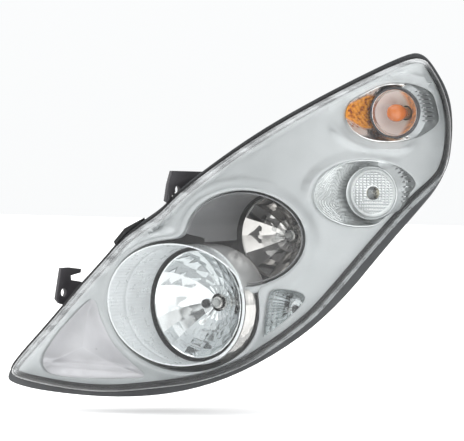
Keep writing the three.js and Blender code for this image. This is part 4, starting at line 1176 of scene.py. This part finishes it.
for name, *form in (
        ("low_turret", LOW, 50, 45, 112, 184, 112), ("high_turret", HIGH, 50, 45, 132, 225, 112),
        ("daytime_boss", DAY, 21, 17.5, 214, 277, 72), ("indicator_boss", TURN, 21, 17.5, 243, 290, 72),
        ("vent_boss", (30, 75), 11, 4.4, 172, 207, 48), ("peg_boss", (60, 100), 9, 3.8, 202, 231, 48),
        ("leveling_boss", (-10, -102), 15, 6.2, 152, 186, 56), ("side_screw_boss", (-105, 48), 9, 3.5, 142, 164, 40)):
    turret(name, *form)


def rib(name, start, end, height=5.0, thick=1.9):
    """A stiffening rib that stands on the rear wall along a line of x, z."""
    start, end = np.array(start, float), np.array(end, float)
    path = start + np.linspace(0, 1, max(2, int(np.linalg.norm(end - start) / 7)) + 1)[:, None] * (end - start)
    x, z = path.T
    path = path[inside(np.stack([x * COS + rear_y(x) * SIN, z], 1), REAR_LIMIT)]
    if len(path) < 3:
        return
    across = inwards(np.gradient(path, axis=0))
    base = rear_y(path[:, 0])
    steps = np.arange(len(path))
    fade = np.minimum(1, np.minimum(steps, steps[::-1]) / 1.5 + 0.25)
    lines = []
    for side, lift in ((0.5, -1.2), (0.5, 0.8), (0.36, 1.0), (-0.36, 1.0), (-0.5, 0.8), (-0.5, -1.2)):
        p = path + across * side * thick
        lines.append(np.insert(p, 1, base + (height * fade * lift if lift > 0 else -1.5), 1))
    piece(name, capped(list(np.stack(lines, 1))), "housing", smooth=30, replaces=False)


REAR_LIMIT = rear_ring(0, 0.855)
RIBS = [
    [(-30, -107), (36, -107)], [(-80, -57), (-80, 0)], [(-130, -107), (-178, -122)], [(-44, -143), (-10, -158)],
    [(-7, 32), (-7, 78)], [(43, -18), (84, -18)], [(28, -54), (60, -86)], [(-57, -18), (-100, -24)],
    [(28, 18), (80, 60)], [(-42, 18), (-76, 12)], [(86, 40), (40, 40)], [(-116, -72), (-146, -48)],
    [(-116, -142), (-150, -172)], [(106, 62), (106, 118)], [(84, 46), (60, 92)],
]
for k, (start, end) in enumerate(RIBS):
    rib("housing_rib_%d" % k, start, end)


# ---- Pieces that keep their CAD shape, with softened edges ----
def softened(node, width):
    """A copy of a CAD node's solid with its edges rounded."""
    obj = bpy.data.objects.new(node + "_soft", NODES[node].data.copy())
    bpy.context.scene.collection.objects.link(obj)
    work = bmesh.new()
    work.from_mesh(obj.data)
    bmesh.ops.remove_doubles(work, verts=work.verts, dist=1e-6)
    bmesh.ops.dissolve_limit(work, angle_limit=math.radians(1.5), verts=work.verts, edges=work.edges)
    work.to_mesh(obj.data)
    work.free()
    bevel = obj.modifiers.new("edges", "BEVEL")
    bevel.width = width / 1000
    bevel.segments = 2
    bevel.limit_method = "ANGLE"
    bevel.angle_limit = math.radians(32)
    bevel.use_clamp_overlap = True
    final = bpy.data.meshes.new_from_object(obj.evaluated_get(bpy.context.evaluated_depsgraph_get()))
    obj.modifiers.clear()
    obj.data = final
    final.shade_smooth()
    final.set_sharp_from_angle(angle=math.radians(40))
    stand_in(obj, node, replaces=True)


SOFT = {
    "upper_bracket": 0.9, "lower_bracket": 0.9, "outer_bracket": 0.9, "top_clip": 1.0, "leveling_motor": 1.0,
    "main_connector": 0.5, "vent_cap": 0.8, "locating_peg": 0.6, "low_cap": 1.2, "high_cap": 1.2,
    "low_cap_seal": 0.4, "high_cap_seal": 0.4, "reflector_carrier": 0.6, "pivot_ball_stud": 0.4, "pivot_cup": 0.4,
    "low_bulb_plug": 0.6, "high_bulb_plug": 0.6, "low_bulb_base": 0.4, "high_bulb_base": 0.4,
    "low_bulb_clip": 0.25, "high_bulb_clip": 0.25, "leveling_shaft": 0.4, "height_adjuster": 0.5, "side_adjuster": 0.5,
    "daytime_holder": 0.6, "indicator_holder": 0.6, "side_holder": 0.5,
}
for node, width in SOFT.items():
    softened(node, width)


# ---- Small bulbs, clips and adjusters ----
lathe("daytime_glass", DAY, capsule(5, 187.5, 166, 0.6), "daytime_bulb_glass", sides=48)
filament("daytime_filament", DAY, 173, 177, 0.6, "daytime_bulb_glass", 186)
lathe("daytime_base", DAY, [
    (4.6, 186.3), (6.6, 186.5), (7.3, 187.4), (7.4, 189), (7.4, 190.4), (6.9, 191), (6.9, 192), (7.4, 192.6),
    (7.4, 199.6), (6.8, 200.6), (5, 201)], "daytime_bulb_base", "bulb_brass")
lathe("indicator_globe", TURN, [
    (7.4, 223), (7.5, 220.6), (8.6, 218.4), (10.2, 215.4), (11.4, 212), (11.95, 208.6), (12, 205), (11.7, 202),
    (10.7, 199), (8.9, 196.2), (6.4, 194.2), (3.4, 193.2), (0.02, 193)], "indicator_bulb_glass", "amber_glass")
lathe("indicator_base", TURN, [
    (6, 221.8), (7.4, 222), (7.8, 222.8), (7.8, 226), (7.3, 226.6), (7.3, 227.4), (7.8, 228), (7.8, 236.8),
    (7.2, 237.8), (5.5, 238)], "indicator_bulb_base", "bulb_brass")


# ---- Camera, floor and light ----
TARGET = Vector((0.090, -0.0244, -0.0535))
VIEW_SIDE, VIEW_UP, VIEW_FAR = math.radians(36), math.radians(2), 3.4
SEEN_WIDTH = 0.6264  # metres across the picture at the target, before the zoom
ZOOM = 1.045


def settle(name, data, place, target=None):
    """An object of the stage, turned to a target."""
    obj = bpy.data.objects.new(name, data)
    obj.location = place
    if target:
        obj.rotation_euler = (target - obj.location).to_track_quat("-Z", "Y").to_euler()
    bpy.context.scene.collection.objects.link(obj)
    return obj


camera_data = bpy.data.cameras.new("camera")
camera_data.sensor_width = 36
camera_data.lens = 36 * VIEW_FAR / SEEN_WIDTH * ZOOM
toward = Vector((math.sin(VIEW_SIDE) * math.cos(VIEW_UP), -math.cos(VIEW_SIDE) * math.cos(VIEW_UP),
                 math.sin(VIEW_UP)))
bpy.context.scene.camera = settle("camera", camera_data, TARGET + toward * VIEW_FAR, TARGET)

FLOOR_Z = CAD_BOX[0][2] - 0.02
floor_mesh = bpy.data.meshes.new("floor")
floor_mesh.from_pydata([(x, y, FLOOR_Z) for x, y in ((-6, -6), (6, -6), (6, 6), (-6, 6))], [], [(0, 1, 2, 3)])
n = finish("floor")
n.set(Base_Color=n.mix(n.spread(n.noise(3, 3), 0, 1), (0.90, 0.90, 0.90), (0.93, 0.93, 0.93)),
      Roughness=n.spread(n.noise(9, 3), 0.75, 0.9), Emission_Color=(1, 1, 1, 1), Emission_Strength=0.4)
floor_mesh.materials.append(FINISHES["floor"])
settle("floor", floor_mesh, (0, 0, 0))

for name, place, size, watts, height in (
        ("key", (-1.2, -1.7, 1.6), 1.3, 4, 1.3), ("fill", (2.0, -1.2, 0.9), 0.9, 2.5, 1.6),
        ("top", (0.1, -0.1, 1.9), 1.5, 4, 1.5), ("rear", (-0.8, 2.0, 1.2), 1.4, 12, 1.4)):
    light = bpy.data.lights.new(name, "AREA")
    light.shape = "RECTANGLE"
    light.size, light.size_y, light.energy = size, height, watts
    settle(name, light, place, TARGET).visible_glossy = False


def studio_light():
    """White walls at eye level and a darker ceiling between the lights, so that plated surfaces have something
    to show."""
    world = bpy.context.scene.world = bpy.data.worlds.new("studio")
    n = Nodes(world, "Generated")
    height = n.spread(n.add("SeparateXYZ", {0: n.place}).outputs["Z"], 0, 1, -1, 1)
    ramp = n.add("ValToRGB", {0: height})
    stops = [(0.0, 0.75), (0.46, 0.95), (0.58, 0.98), (0.66, 0.35), (0.74, 0.16), (0.80, 0.60), (0.88, 1.3), (1.0, 1.5)]
    points = ramp.color_ramp.elements
    while len(points) < len(stops):
        points.new(0.5)
    for point, (place, grey) in zip(points, stops):
        point.position = place
        point.color = (grey, grey * 1.01, grey * 1.015, 1)
    light = ramp.outputs[0]
    for toward, power, reach in (((-0.48, -0.62, 0.62), 1.9, 0.16), ((0.86, -0.35, 0.38), 0.9, 0.12),
                                 ((-0.2, 0.75, 0.63), 1.6, 0.14)):
        spot = n.vector("DOT_PRODUCT", n.place, Vector(toward).normalized())
        soft = n.spread(spot, 0, power, 1 - reach, 1 - reach * 0.2, interpolation_type="SMOOTHSTEP")
        light = n.vector("ADD", light, soft)
    n.feed(n.tree.nodes["Background"].inputs["Color"], light)


studio_light()
bpy.context.scene.view_settings.view_transform = "Standard"
